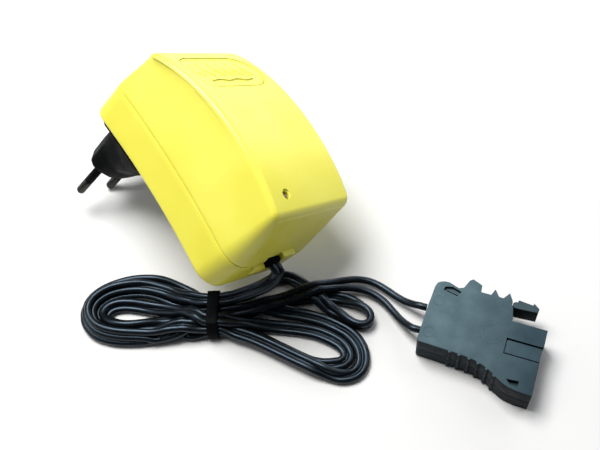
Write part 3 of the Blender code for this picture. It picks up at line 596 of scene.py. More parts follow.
def push_apart(points, i, j, free):
    """Move the points of each pair that are nearer than a diameter away from each other."""
    gap = points[j] - points[i]
    length = np.linalg.norm(gap, axis=1, keepdims=True)
    push = gap / np.maximum(length, 1e-6) * np.maximum(0, CORE_D - length) * 0.5
    total, hits = np.zeros_like(points), np.zeros((len(points), 1))
    for at, move in ((i, -push), (j, push)):
        np.add.at(total, at, move)
        np.add.at(hits, at, length < CORE_D)
    points += 1.3 * total / np.maximum(hits, 1) ** 0.6 * free


def keep_twin(points, left, right, free):
    """Bring facing points of the twin's two cores back to its pitch."""
    gap = points[right] - points[left]
    length = np.linalg.norm(gap, axis=1, keepdims=True)
    push = gap * (1 - TWIN_PITCH / length) * 0.5
    points[left] += push * free[left]
    points[right] -= push * free[right]


def keep_spacing(points, links, rest, free):
    """Bring neighbouring points along a core back towards their resting distance."""
    gap = points[links + 1] - points[links]
    length = np.linalg.norm(gap, axis=1, keepdims=True)
    push = gap * (1 - rest[:, None] / length) * 0.5
    total = np.zeros_like(points)
    np.add.at(total, links, push)
    np.add.at(total, links + 1, -push)
    points += 0.6 * total * free


def settle_cord(rounds=240):
    """Relax the two cores: they keep their length and their spacing in the twin, bend evenly,
    sink, and lie on the table and beside or over each other."""
    a, b, twin = two_cores()
    count = len(a)
    points = np.vstack([a, b])
    core = np.repeat([0, 1], [count, len(b)])
    index = np.concatenate([np.arange(count), np.arange(len(b))])
    free = np.ones((len(points), 1))
    for start in (0, count):
        free[start:start + 3] = 0
    for end in (count, len(points)):
        free[end - 3:end] = 0
    links = np.nonzero(core[:-1] == core[1:])[0]
    rest = np.linalg.norm(points[links + 1] - points[links], axis=1)
    rest = np.clip(rest, STEP * 0.85, STEP * 1.15)
    inner = np.nonzero(core[:-2] == core[2:])[0]
    home = points.copy()
    in_tie = (np.abs(points[:, 0] - TIE_MID) < TIE_HALF + 1) & (points[:, 2] < 12)
    hold = np.where(in_tie, 0.25, 0.03)[:, None] * np.ones(3)
    hold[~in_tie, 2] *= 0.2
    left, right = np.arange(twin), count + np.arange(twin)
    for turn_number in range(rounds):
        if turn_number % 8 == 0:
            i, j = close_pairs(points, index, CORE_D * 1.6, 4)
        points[:, 2:] -= 0.03 * free
        points += hold * (home - points) * free
        bend = np.zeros_like(points)
        bend[inner + 1] = 0.5 * (points[inner] + points[inner + 2]) - points[inner + 1]
        points += 0.3 * bend * free
        for _ in range(3):
            push_apart(points, i, j, free)
            keep_twin(points, left, right, free)
            keep_spacing(points, links, rest, free)
            points[:, 2] = np.maximum(points[:, 2], CORE_D / 2)
    return points[:count], points[count:], twin


def tube(name, line, diameter, mat, sides=14):
    """Round tube with flat ends along a line of points."""
    along = unit(np.gradient(line, axis=0))
    side = np.cross(along[0], (0, 0, 1.0))
    rings = []
    for p, t in zip(line, along):
        side = side - t * (side @ t)
        side = side / np.linalg.norm(side)
        other = np.cross(t, side)
        ring = [p + (side * u + other * v) * diameter / 2 for u, v in circle((0, 0), 1, sides)]
        rings.append([tuple(v) for v in ring])
    return add_mesh(name, *loft(rings), TABLE, mat, smooth=60)


def make_web(a, b, twin, mat):
    """Thin bridge of insulation that joins the two cores."""
    rings = []
    for k in range(twin):
        across = unit(b[k] - a[k])
        t = unit(a[min(k + 1, twin - 1)] - a[max(k - 1, 0)])
        up = unit(np.cross(across, t)) * CORE_D * 0.27
        p, q = a[k] + across * CORE_D * 0.3, b[k] - across * CORE_D * 0.3
        mid, waist = (p + q) / 2, up * 0.62
        rings.append([tuple(v) for v in (p - up, mid - waist, q - up, q + up, mid + waist, p + up)])
    return add_mesh("cord_web", *loft(rings), TABLE, mat, smooth=60)


def make_cord():
    rubber = cord_rubber("cord_pvc")
    a, b, twin = settle_cord()
    core_a = tube("cord_core_a", a, CORE_D, rubber)
    core_b = tube("cord_core_b", b, CORE_D, rubber)
    web = make_web(a, b, twin, rubber)
    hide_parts("lead_a", "wire_a", "cord_hank")
    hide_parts("lead_b", "wire_b", "side_loop")
    return core_a, core_b, web, a, b


core_a, core_b, cord_web, line_a, line_b = make_cord()


# ----------------------------------------------------------------- housing
# The same curves as in the CAD, with finer steps.

HALF_W = 28.5             # half width at the parting line
PIN_END = 11.6            # pin end at the parting line
FRONT_PEAK_Z = 51.3       # highest point of the bowed front
FRONT_PEAK_Y = -43.5
FRONT_BOW = (0.0039, 4e-7)    # fall of the front with the second and fourth power of distance
PART_PEAK_Z = 18.2        # highest point of the parting line
PART_BOW = 0.0012
BACK_PEAK_Y = -35.0       # highest point of the parting line and of the hollow back
BACK_PEAK_Z = 0.6
BACK_BOW = 0.0014
FRONT_DRAFT = 1.3         # how far the sides lean in by the front
CORD_DRAFT = 4.2          # how far the cord end leans in by the front
PIN_DRAFT = 3.4
CORNER_CORD = (10.5, 3.3)     # corner radii at the parting line and at the front
CORNER_PIN = (8.0, 4.0)
BACK_DRAFT = 1.5          # how far the cord end leans in by the back
FRONT_FILLET = 2.6
BACK_FILLET = 1.6
WALL = 2.2
SCOOP = 1.7               # depth of the hollow below the front ridge
GAP = 0.3                 # clearance between neighbouring pieces
BADGE = (-1.2, -8.9, 22.6, 10.0)      # centre x, centre y, half length, half height
BADGE_DEPTH = 0.9         # depth of the badge's recess
LAMP = (-16.0, -71.0)
PIN_X = 9.3
PIN_BORE_R = 1.7
SCREW_X = 17.0
SCREW_Y = -66.0
SCREW_BOSS_R = 4.6
THROAT = (4.3, 2.9)       # half width and half height of the cord exit
SLOT = (9.0, 0.55)        # half length and half width of a cooling slot
SLOT_FIRST_Y = -30.0
SLOT_PITCH = 3.4
SLOT_COUNT = 5


def front_z(y):
    d = y - FRONT_PEAK_Y
    return FRONT_PEAK_Z - FRONT_BOW[0] * d ** 2 - FRONT_BOW[1] * d ** 4


def part_z(y):
    return PART_PEAK_Z - PART_BOW * (y - BACK_PEAK_Y) ** 2


def back_z(y):
    return BACK_PEAK_Z - BACK_BOW * (y - BACK_PEAK_Y) ** 2


def half_plan(w, y0, y1, r0, r1):
    """Right half of a rounded plan outline, from the cord end to the pin end."""
    pts = [(w - r0 + r0 * sin(a), y0 + r0 - r0 * cos(a)) for a in np.linspace(0, pi / 2, 15)]
    lo, hi = y0 + r0, y1 - r1
    pts += [(w, lo + (hi - lo) * k / 40) for k in range(1, 40)]
    return pts + [(w - r1 + r1 * cos(a), y1 - r1 + r1 * sin(a)) for a in np.linspace(0, pi / 2, 13)]


def hollow(y, t):
    """Inward scoop of the side below the ridge, strongest towards the pin end."""
    along = min(1.0, max(0.12, (y + 62) / 60))
    return SCOOP * along * max(0.0, sin(pi * min(1.0, t ** 1.6)))


def plan_ring(t, shrink, z_of, back=0.0):
    """Housing outline at fraction t from the parting line to the front, or at fraction back
    from it to the back."""
    w = HALF_W - FRONT_DRAFT * t - shrink
    y0 = CORD_END + CORD_DRAFT * t + BACK_DRAFT * back + shrink
    y1 = PIN_END - PIN_DRAFT * t - shrink
    r0, r1 = (max(1.0, r[0] - (r[0] - r[1]) * t - shrink) for r in (CORNER_CORD, CORNER_PIN))
    right = half_plan(w, y0, y1, r0, r1)
    ring = [(x - hollow(y, t) * min(1.0, x / w) ** 4, y, z_of(y)) for x, y in right]
    return ring + [(-x, y, z) for x, y, z in reversed(ring)]


def close_with_grid(verts, ring, z_of, columns, flip):
    """Fill a mirror-symmetrical ring with rows of quads that follow z_of(y). The first and
    last rows are single polygons, because the ring has only two points there."""
    half = len(ring) // 2
    rows = []
    for i, (x, y, z) in enumerate(ring[:half]):
        count = 1 if i in (0, half - 1) else columns
        row = list(range(len(verts), len(verts) + count + 1))
        for c in range(count + 1):
            ends = c in (0, count)
            verts.append((x * (1 - 2 * c / count), y, z if ends else z_of(y)))
        rows.append(row)
    faces = []
    for near, far in zip(rows, rows[1:]):
        if len(near) == len(far):
            faces += [(near[c], far[c], far[c + 1], near[c + 1]) for c in range(len(near) - 1)]
        else:
            faces.append((*near, *reversed(far)))
    return [tuple(reversed(f)) for f in faces] if flip else faces


def between(t, lo, hi):
    return lambda y: lo(y) + t * (hi(y) - lo(y))


def shell(outer, inner, outer_z, inner_z, columns):
    """Open tray: outer and inner ring stacks joined at the rim, each closed by a grid."""
    n = len(outer[0])
    verts = [p for ring in outer + inner for p in ring]
    faces = []
    for k in range(len(outer) - 1):
        faces += bridge(n, k * n, (k + 1) * n)
    base = len(outer) * n
    for k in range(len(inner) - 1):
        faces += bridge(n, base + k * n, base + (k + 1) * n)
    faces += bridge(n, 0, base)
    faces += close_with_grid(verts, outer[-1], outer_z, columns, False)
    faces += close_with_grid(verts, inner[-1], inner_z, 1, True)
    return verts, faces


def cover_mesh():
    seam = lambda y: part_z(y) + GAP / 2
    outer = [plan_ring(0, 0.28, seam), plan_ring(0.01, 0.08, lambda y: seam(y) + 0.10),
             plan_ring(0.02, 0.0, lambda y: seam(y) + 0.32)]
    outer += [plan_ring(t, 0.0, between(t, seam, front_z)) for t in np.linspace(0.05, 0.92, 20)]
    for a in np.linspace(12, 90, 9):
        d = FRONT_FILLET * (1 - cos(radians(a)))
        drop = FRONT_FILLET * (1 - sin(radians(a)))
        outer.append(plan_ring(1.0, d, lambda y, q=drop: front_z(y) - q))
    top = lambda y: front_z(y) - WALL
    inner = [plan_ring(t, WALL, between(t, seam, top)) for t in (0, 0.3, 0.6)]
    inner.append(plan_ring(0.95, WALL + 0.6, top))
    return shell(outer, inner, front_z, top, 26)


def back_mesh():
    seam = lambda y: part_z(y) - GAP / 2
    outer = [plan_ring(0, 0.28, seam), plan_ring(0, 0.08, lambda y: seam(y) - 0.10),
             plan_ring(0, 0.0, lambda y: seam(y) - 0.32)]
    outer += [plan_ring(0, 0.3 * t, between(t, seam, back_z), t) for t in (0.15, 0.3, 0.5, 0.7, 0.82)]
    for a in np.linspace(0, 90, 8):
        d = 0.3 + BACK_FILLET * (1 - cos(radians(a)))
        rise = BACK_FILLET * (1 - sin(radians(a)))
        outer.append(plan_ring(0, d, lambda y, q=rise: back_z(y) + q, 1.0))
    low = lambda y: back_z(y) + WALL
    inner = [plan_ring(0, WALL, seam), plan_ring(0, WALL + 0.6, low, 1.0)]
    return shell(outer, inner, back_z, low, 2)


def stadium(grow, top, bottom, steps=40):
    """Badge outline that follows the bowed front, built as strips across X."""
    cx, cy, a, b = BADGE
    a, b = a + grow, b + grow
    verts, faces = [], []
    for i in range(steps + 1):
        s = -cos(pi * i / steps)
        y = cy + b * s
        half = a - b + b * sqrt(max(0.0, 1 - s * s))
        for x in (cx - half, cx + half):
            verts += [(x, y, front_z(y) - top), (x, y, front_z(y) - bottom)]
    for i in range(steps):
        p, q = 4 * i, 4 * i + 4
        faces += [(p, p + 2, q + 2, q), (p + 1, q + 1, q + 3, p + 3),
                  (p, q, q + 1, p + 1), (p + 2, p + 3, q + 3, q + 2)]
    return verts, faces + [(0, 1, 3, 2), (4 * steps, 4 * steps + 2, 4 * steps + 3, 4 * steps + 1)]


def ease(x):
    x = min(1.0, max(0.0, x))
    return x * x * (3 - 2 * x)


def badge_relief(x, y):
    """Raised generic ornament: a row of slanted lozenges over a wavy bar, with a rim."""
    cx, cy, a, b = BADGE
    u, v = x - cx, y - cy
    core = max(0.0, abs(u) - (a - b))
    inside = b - sqrt(core * core + v * v)
    rim = 0.42 * ease((1.5 - inside) / 0.5) * ease((inside - 0.05) / 0.3)
    slant = u + 0.35 * v
    pitch = 6.2
    lozenge = abs((slant / pitch) % 1.0 - 0.5) * pitch
    lift = 0.0
    if abs(u) < 17.0:
        lift = ease((2.4 - lozenge - 0.42 * abs(v - 1.6)) / 0.28) * ease((4.6 - abs(v - 1.6)) / 0.28)
    wave = abs(v + 5.2 - 0.4 * sin(u * 0.55))
    bar = ease((0.75 - wave) / 0.28) * ease((14.5 - abs(u)) / 1.0)
    return rim + 0.62 * max(lift, bar)


def badge_mesh(rows=96, columns=150):
    """Plate that fills the badge recess: a fine top grid with the relief, and a skirt."""
    cx, cy, a, b = BADGE
    verts, faces = [], []
    for i in range(rows + 1):
        s = -cos(pi * i / rows)
        y = cy + b * s
        half = a - b + b * sqrt(max(0.0, 1 - s * s))
        for c in range(columns + 1):
            x = cx + half * (2 * c / columns - 1)
            verts.append((x, y, front_z(y) - 0.6 + badge_relief(x, y)))
    wide = columns + 1
    for i in range(rows):
        for c in range(columns):
            p = i * wide + c
            faces.append((p, p + 1, p + wide + 1, p + wide))
    rim = list(range(wide)) + [i * wide + columns for i in range(1, rows + 1)]
    rim += [rows * wide + c for c in range(columns - 1, -1, -1)]
    rim += [i * wide for i in range(rows - 1, 0, -1)]
    base = len(verts)
    verts += [(verts[k][0], verts[k][1], front_z(verts[k][1]) - 0.85) for k in rim]
    n = len(rim)
    for k in range(n):
        faces.append((rim[k], base + k, base + (k + 1) % n, rim[(k + 1) % n]))
    faces.append(tuple(base + k for k in reversed(range(n))))
    return verts, faces


def wedge_lip(side):
    """Raised lip beside the cord exit, with its outer edges eased."""
    if side == "cover":
        x0, x1, z0, z1, root = 0.0, 8.6, EXIT_Z + 0.65, EXIT_Z + 4.9, CORD_END + 2.2
    else:
        x0, x1, z0, z1, root = -14.5, -6.5, EXIT_Z - 4.8, EXIT_Z - 0.75, CORD_END + 1.5
    rings = []
    for y, d in ((CORD_END - 1.6, 0.55), (CORD_END - 1.2, 0.15), (CORD_END - 0.4, 0.0), (root, 0.0)):
        rings.append([(x0 + d, y, z0 + d), (x1 - d, y, z0 + d), (x1 - d, y, z1 - d), (x0 + d, y, z1 - d)])
    return loft(rings)


def cut_screw_seats(back):
    """A boss inside the back and a stepped bore for each screw."""
    seat = back_z(SCREW_Y)
    boss = [(SCREW_BOSS_R, seat + 1.27), (SCREW_BOSS_R, seat + 5.1)]
    bore = [(3.3, seat - 3), (3.3, seat + 0.05), (3.1, seat + 0.25), (3.1, seat + 1.8),
            (1.6, seat + 1.8), (1.6, seat + 7)]
    for x in (-SCREW_X, SCREW_X):
        cut(back, *lathe(boss, 38, (x, SCREW_Y)), HOUSING, "UNION")
        cut(back, *lathe(bore, 32, (x, SCREW_Y)), HOUSING)


def cut_exit(piece, side):
    """This piece's lip beside the cord exit, and its part of the throat."""
    wide, tall = THROAT
    cut(piece, *wedge_lip(side), HOUSING, "UNION")
    throat = box(EXIT_X - wide, EXIT_X + wide, CORD_END - 4, CORD_END + 5, EXIT_Z - tall, EXIT_Z + tall)
    cut(piece, *throat, HOUSING)


def cut_lamp_hole(cover):
    top = front_z(LAMP[1])
    countersink = [(1.85, 38), (1.85, top - 0.4), (2.4, top + 0.2), (2.4, top + 2)]
    cut(cover, *lathe(countersink, 40, LAMP), HOUSING)


def cut_cooling_slots(back):
    half, wide = SLOT
    for k in range(SLOT_COUNT):
        y = SLOT_FIRST_Y - SLOT_PITCH * k
        cut(back, *box(-half, half, y - wide, y + wide, back_z(y) - 1, back_z(y) + 0.7), HOUSING)


def make_housing():
    # The cover's yellow carries painted sheen in its raised blue; the back's yellow does not.
    cover_yellow_painted_sheen = yellow_plastic("yellow_cover_painted_sheen")
    satin = yellow_plastic("yellow_back", light=(0.64, 0.60, 0.060), deep=(0.60, 0.55, 0.045), grain=0.45)
    cover = add_mesh("cover_shell", *cover_mesh(), HOUSING, cover_yellow_painted_sheen, smooth=30)
    back = add_mesh("back_tray", *back_mesh(), HOUSING, satin, smooth=30)
    cut_screw_seats(back)
    cut_exit(cover, "cover")
    cut_exit(back, "back")
    cut(cover, *stadium(GAP, -1.0, BADGE_DEPTH), HOUSING)
    cut_lamp_hole(cover)
    cut_cooling_slots(back)
    for x in (-PIN_X, PIN_X):
        cut(back, *lathe([(PIN_BORE_R, -5), (PIN_BORE_R, 6)], 32, (x, 0)), HOUSING)
    badge = add_mesh("badge_panel", *badge_mesh(), HOUSING, cover_yellow_painted_sheen, smooth=60)
    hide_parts("front_cover")
    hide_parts("back_shell")
    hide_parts("badge_plate")
    return [cover, back, badge]


def make_lamp():
    """Smoked indicator dome inside its hole."""
    n = Nodes("smoked_lens", (0.16, 0.06, 0.05), 0.12, coat=0.6, specular=0.6)
    n.colour(n.ramp(n.noise(1.2, 2), [(0.3, (0.05, 0.025, 0.025)), (0.7, (0.14, 0.07, 0.065))]))
    n.roughness(n.span(n.noise(0.8, 2), 0.08, 0.2))
    n.bump([(n.noise(0.6, 1), 0.02, 0.3)])
    top = front_z(LAMP[1])
    profile = [(0.45, 7.2), (0.45, top - 6.6), (1.95, top - 6.6), (1.95, top - 5.4), (1.45, top - 5.4)]
    profile += [(1.45 * cos(a), top - 2.0 + 1.45 * sin(a)) for a in np.linspace(0, 1.45, 12)]
    lamp = add_mesh("lamp_dome", *lathe(profile, 32, LAMP), HOUSING, n.mat, smooth=50)
    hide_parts("status_led")
    return lamp


def make_gland(mat):
    """Strain relief with a flange, a body in the throat and two ribs on its nose."""
    rows = [(-79.0, 5.6, 2.6), (-80.2, 5.6, 2.6), (-80.4, 5.4, 2.5), (-80.4, 4.0, 2.6),
            (-83.3, 4.0, 2.6), (-83.4, 3.7, 2.4), (-83.8, 3.7, 2.4), (-83.9, 4.0, 2.6),
            (-84.5, 4.0, 2.6), (-84.6, 3.7, 2.4), (-85.0, 3.7, 2.4), (-85.1, 3.85, 2.45),
            (-85.4, 3.6, 2.2)]          # y, half width and half height of each ring
    rings = []
    for y, hx, hz in rows:
        ring = []
        for i in range(40):
            a = 2 * pi * i / 40
            r = (abs(cos(a)) ** 4 + abs(sin(a)) ** 4) ** -0.25
            ring.append((EXIT_X + hx * r * cos(a), y, EXIT_Z + hz * r * sin(a)))
        rings.append(ring)
    gland = add_mesh("strain_relief", *loft(rings), HOUSING, mat, smooth=40)
    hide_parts("cord_gland")
    return gland


PLUG_ROOT = [(18.0, -24.0), (24.0, -22.0), (24.0, -14.0), (19.0, -4.0), (14.6, 3.6), (9.4, 7.2)]
PLUG_LEVELS = [
    (-12.0, [(14.0, -19.0), (18.0, -17.0), (18.6, -10.5), (16.0, -2.0), (13.8, 3.8), (9.0, 8.8)]),
    (-22.0, [(8.0, -12.6), (13.0, -9.0), (14.6, -4.8), (14.4, 0.2), (13.5, 4.1), (8.8, 9.0)]),
    (-31.8, [(3.0, -8.0), (8.4, -6.4), (13.2, -1.6), (13.9, 1.4), (13.2, 4.2), (8.4, 8.8)]),
    (-33.0, [(2.4, -7.0), (7.8, -5.6), (12.2, -1.4), (12.9, 1.2), (12.2, 3.6), (7.8, 7.8)]),
]
PLATE_OUTLINE = [(20.0, -25.5), (25.0, -24.2), (26.3, -20.0), (26.3, -8.0), (26.1, 2.6),
                 (24.4, 6.2), (20.0, 7.9)]
PLATE_T = 1.7
PIN_R = 2.0
PIN_NECK_R = 1.4
PIN_TIP_Z = -52.0
PIN_ROOT_Z = 4.0          # inner end of the pins, inside the housing
SLEEVE_END_Z = -43.0
SOCKET_R = 2.3
SOCKET_Z = -31.5


def mirrored(points):
    return list(points) + [(-x, y) for x, y in reversed(points)]


def plug_rings():
    """Outlines of the plug block, with levels added between the driving ones."""
    driving = [np.array([(x, y, back_z(y) - PLATE_T - 2 * GAP) for x, y in mirrored(PLUG_ROOT)])]
    driving += [np.array([(x, y, z) for x, y in mirrored(half)]) for z, half in PLUG_LEVELS]
    rings = []
    for near, far in zip(driving, driving[1:]):
        steps = 5 if np.ptp((near - far)[:, 2]) > 0 or near[0, 2] - far[0, 2] > 2 else 1
        rings += [near + (far - near) * t for t in np.arange(steps) / steps]
    return [[tuple(p) for p in ring] for ring in rings + [driving[-1]]]


def mirror_strips(n):
    """Strips across the first ring of n points, whose second half mirrors its first."""
    return [(i, i + 1, n - 2 - i, n - 1 - i) for i in range(n // 2 - 1)]


def make_plate(black):
    """Flange that follows the housing's hollow back."""
    outline = mirrored(PLATE_OUTLINE)
    rings = [[(x, y, back_z(y) - GAP - drop) for x, y in outline] for drop in (0.0, PLATE_T)]
    n = len(outline)
    verts, faces = loft(rings, caps=False)
    faces += mirror_strips(n) + [tuple(i + n for i in strip) for strip in mirror_strips(n)]
    plate = add_mesh("plug_flange", verts, faces, HOUSING, black)
    round_edges(plate, 0.5)
    return plate


def make_block(black):
    """Block that carries the pins and narrows away from the flange."""
    rings = plug_rings()
    verts, faces = loft(rings)
    faces = mirror_strips(len(rings[0])) + faces[1:]
    block = add_mesh("plug_body", verts, faces, HOUSING, black, smooth=30)
    round_edges(block, 0.7, 4)
    return block


def pin_profile():
    """Round pin with a domed tip and a thinner shank inside its sleeve."""
    dome = [(max(0.25, PIN_R * sin(a)), PIN_TIP_Z + 1.7 - 1.7 * cos(a)) for a in np.linspace(0, pi / 2, 9)]
    neck = SLEEVE_END_Z - GAP
    return dome + [(PIN_R, neck - 0.3), (PIN_R - 0.1, neck), (PIN_NECK_R, neck), (PIN_NECK_R, PIN_ROOT_Z)]


def sleeve_profile():
    seat, bore = SOCKET_Z - GAP, PIN_NECK_R + GAP
    return [(bore, SLEEVE_END_Z), (PIN_R - 0.1, SLEEVE_END_Z), (PIN_R, SLEEVE_END_Z + 0.2),
            (PIN_R, seat), (bore, seat)]


def make_plug():
    """Flange and block with a bore and a socket for each pin, and the two sleeved pins."""
    black = black_plastic("plug_black")
    steel = brushed_metal("pin_nickel", (0.065, 0.064, 0.060), 0.30)
    sleeve_black = black_plastic("sleeve_black", 0.34)
    plate, block = make_plate(black), make_block(black)
    black_parts, pins = [plate, block], []
    bore = PIN_NECK_R + GAP
    for x, tag in ((-PIN_X, "left"), (PIN_X, "right")):
        for piece in (plate, block):
            cut(piece, *lathe([(bore, -40), (bore, 2)], 32, (x, 0)), HOUSING)
        cut(block, *lathe([(SOCKET_R, -40), (SOCKET_R, SOCKET_Z)], 32, (x, 0)), HOUSING)
        pin = add_mesh("pin_bare_" + tag, *lathe(pin_profile(), 36, (x, 0)), HOUSING, steel, smooth=40)
        wall = turned_ring(sleeve_profile(), 36, (x, 0))
        sleeve = add_mesh("pin_sleeve_" + tag, *wall, HOUSING, sleeve_black, smooth=40)
        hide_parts("pin_" + tag)
        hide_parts("sleeve_" + tag)
        pins.append(pin)
        black_parts.append(sleeve)
    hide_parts("plug_base")
    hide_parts("plug_block")
    return black_parts, pins


def make_screws():
    """Sunk screws with a cross recess."""
    zinc = brushed_metal("screw_zinc", (0.55, 0.54, 0.50), 0.3, (1, 1, 1))
    seat = back_z(SCREW_Y)
    pieces = []
    for x, tag in ((-SCREW_X, "left"), (SCREW_X, "right")):
        spot = (x, SCREW_Y)
        profile = [(0.3, 0.3), (1.2, 0.34), (2.2, 0.55), (2.6, 0.85), (2.7, 1.1), (2.7, 1.5),
                   (1.3, 1.5), (1.3, 4.4), (0.6, 5.0)]
        profile = [(r, seat + z) for r, z in profile]
        screw = add_mesh("cross_screw_" + tag, *lathe(profile, 36, spot), HOUSING, zinc, smooth=35)
        for wide, tall in ((1.5, 0.32), (0.32, 1.5)):
            arm = box(x - wide, x + wide, SCREW_Y - tall, SCREW_Y + tall, seat - 2, seat + 1.1)
            cut(screw, *arm, HOUSING)
        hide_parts("screw_" + tag)
        pieces.append(screw)
    return pieces


# --------------------------------------------------------------------- tie

def line_round_cores(line_a, line_b, count):
    """Closed line drawn tight round the cores in the tie's plane, and its outward directions."""
    near = [p for p in np.vstack([line_a, line_b]) if abs(p[0] - TIE_MID) < 2.6 and p[2] < 12]
    centres = np.array([(p[1], p[2]) for p in near])
    angles = np.linspace(0, 2 * pi, count, endpoint=False)
    middle = (centres.min(0) + centres.max(0)) / 2
    reach = []
    for a in angles:
        d = np.array((cos(a), sin(a)))
        reach.append(((centres - middle) @ d).max() + CORE_D / 2 + 0.12)
    line = []
    for k, a in enumerate(angles):
        d, e = np.array((cos(a), sin(a))), np.array((-sin(a), cos(a)))
        slope = (reach[(k + 1) % count] - reach[k - 1]) / (2 * (angles[1] - angles[0]))
        line.append(middle + d * reach[k] + e * slope)
    line = np.array(line)
    for _ in range(3):
        line = (np.roll(line, 1, 0) + 2 * line + np.roll(line, -1, 0)) / 4
    out = unit(line - middle)
    line[:, 1] = np.maximum(line[:, 1], 0.25)
    return line, out


def make_tie(line_a, line_b):
    """Flat strap with two low ridges, closed on itself."""
    count = 64
    line, out = line_round_cores(line_a, line_b, count)
    strap = black_plastic("tie_strap", 0.5)
    half = 2.4
    section = [(-half, 0.0), (-half, 0.75), (-half + 0.35, 0.95), (-1.2, 0.82), (0, 0.95), (1.2, 0.82),
               (half - 0.35, 0.95), (half, 0.75), (half, 0.0)]
    rings = []
    for (y, z), (dy, dz) in zip(line, out):
        rings.append([(TIE_MID + 0.1 + u, y + dy * v, max(0.02, z + dz * v)) for u, v in section])
    n = len(section)
    verts, faces = loft(rings, caps=False)
    faces += bridge(n, (count - 1) * n, 0)
    tie = add_mesh("strap_tie", verts, faces, TABLE, strap, smooth=50)
    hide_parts("cord_tie")
    return tie


# --------------------------------------------------------------- connector

CONN_H = 14.2
CONN_SPLIT = 7.1
CAVITY_Y = (14.3, 4.9)
CAVITY = (3.4, 3.4, 10.8)     # half width, floor and roof of a contact cavity
PORT_Y = (19.5, 8.5)
PORT_R = 1.85
SPLIT_GAP = 0.12          # groove between the two half shells
WINDOW = (34.4, 50.0, 5.4, 12.6)      # grip window in the top: x from and to, y from and to
WINDOW_GROOVE_Y = (5.75, 12.25)
POCKET = [(4.6, 26.2), (10.8, 24.9), (12.0, 27.4), (8.0, 28.7), (5.0, 28.0)]
POCKET_SLIT = [(5.6, 26.3), (10.6, 25.3), (11.0, 26.2), (6.0, 27.2)]
EDGE_NOTCH = [(37.9, -5.0), (39.9, -7.1), (42.8, -7.6), (43.0, -4.6)]
LATCH_PIVOT = (34.9, 28.3)
LATCH_R = 1.5
LATCH_Z = (6.0, 14.2)
RIBS = [(14.0, -0.3, -1), (18.0, -0.5, -3), (22.1, -0.9, -8),
        (26.0, -1.7, -16), (29.8, -3.1, -26), (33.2, -5.1, -33)]      # x, y and lean in degrees


def connector_outline():
    spine = [(1.6, 0.1), (8, -0.1), (14, -0.3), (20, -0.6), (26, -1.6), (30.6, -3.4),
             (34.6, -6.0), (38.4, -8.0), (43, -8.9), (49.0, -9.2)]
    points = [tuple(p) for p in smooth_open(spine, 5)]
    points += [(49.0, 12.3), (49.4, 12.8), (49.4, 20.7), (35.0, 20.7), (34.2, 25.8)]
    points += [(33.0, 30.0), (31.4, 32.8), (31.0, 32.8), (29.2, 30.0), (27.4, 30.0),
               (25.4, 32.8), (25.0, 32.8), (24.0, 30.0)]
    points += [(19.8, 30.0), (19.5, 33.2), (15.3, 35.0), (14.0, 33.9), (12.4, 29.8)]
    corner = [(10.4, 29.0), (8.2, 29.8), (6.2, 30.5), (3.8, 30.3), (1.7, 29.2), (0.8, 27.2)]
    points += [tuple(p) for p in smooth_open(corner, 3)]
    return points + [(0.2, 14.0), (0.0, 1.6), (0.15, 0.9), (0.5, 0.35), (1.0, 0.12)]


def rib(x, y, lean):
    a = radians(lean)
    nose = [(-0.75 * cos(t), -0.7 * sin(t)) for t in np.linspace(0.3, pi - 0.3, 7)]
    plan = [(-0.9, 1.0)] + nose + [(0.9, 1.0)]
    return [(x + u * cos(a) - v * sin(a), y + u * sin(a) + v * cos(a)) for u, v in plan]


def ring_groove(x, y, radius, width, depth):
    """Closed ring of square section, sunk in the top face."""
    profile = [(radius - width, CONN_H - depth), (radius + width, CONN_H - depth),
               (radius + width, CONN_H + 1), (radius - width, CONN_H + 1)]
    return turned_ring(profile, 48, (x, y))


def port(y):
    """Round wire entry in the wire end."""
    return loft([[(x, u, z) for u, z in circle((y, CONN_SPLIT), PORT_R, 32)] for x in (-1.0, 7.4)])


def make_half(name, low, high, slate):
    """Half shell with its grip ribs, latch clearance, contact cavities and wire entries."""
    slab = rounded_slab(connector_outline(), low, high, 0.3)
    piece = add_mesh(name, *slab, CONNECTOR, slate, smooth=40)
    for x, y, lean in RIBS:
        cut(piece, *rounded_slab(rib(x, y, lean), low + 0.1, high - 0.1, 0.3), CONNECTOR, "UNION")
    cut(piece, *lathe([(LATCH_R + GAP, -1), (LATCH_R + GAP, 16)], 40, LATCH_PIVOT), CONNECTOR)
    cut(piece, *box(LATCH_PIVOT[0], 50.0, 20.8, 31.0, -1, 16), CONNECTOR)
    wide, floor, roof = CAVITY
    for y in CAVITY_Y:
        cut(piece, *box(8.0, 52.0, y - wide, y + wide, floor, roof), CONNECTOR)
    for y in PORT_Y:
        cut(piece, *port(y), CONNECTOR)
    return piece


def mark_top(upper):
    """Grip window, edge notch, corner pocket and plain moulding rings in the top face."""
    top = CONN_H + 1
    x0, x1, y0, y1 = WINDOW
    cut(upper, *box(x0, x1, y0, y1, CONN_H - 0.45, top), CONNECTOR)
    for y in WINDOW_GROOVE_Y:
        cut(upper, *box(x0, x1, y - 0.35, y + 0.35, CONN_H - 1.5, top), CONNECTOR)
    cut(upper, *box(x0, 35.0, y0, y1, CONN_H - 0.9, top), CONNECTOR)
    for outline, depth in ((EDGE_NOTCH, 2.4), (POCKET, 1.6), (POCKET_SLIT, 3.0)):
        cut(upper, *extrude(outline, CONN_H - depth, top), CONNECTOR)
    for x, y in ((4.1, 20.5), (3.9, 5.3)):
        cut(upper, *ring_groove(x, y, 2.3, 0.12, 0.10), CONNECTOR)
    for radius in (5.2, 3.4):
        cut(upper, *ring_groove(28.3, 13.0, radius, 0.14, 0.05), CONNECTOR)


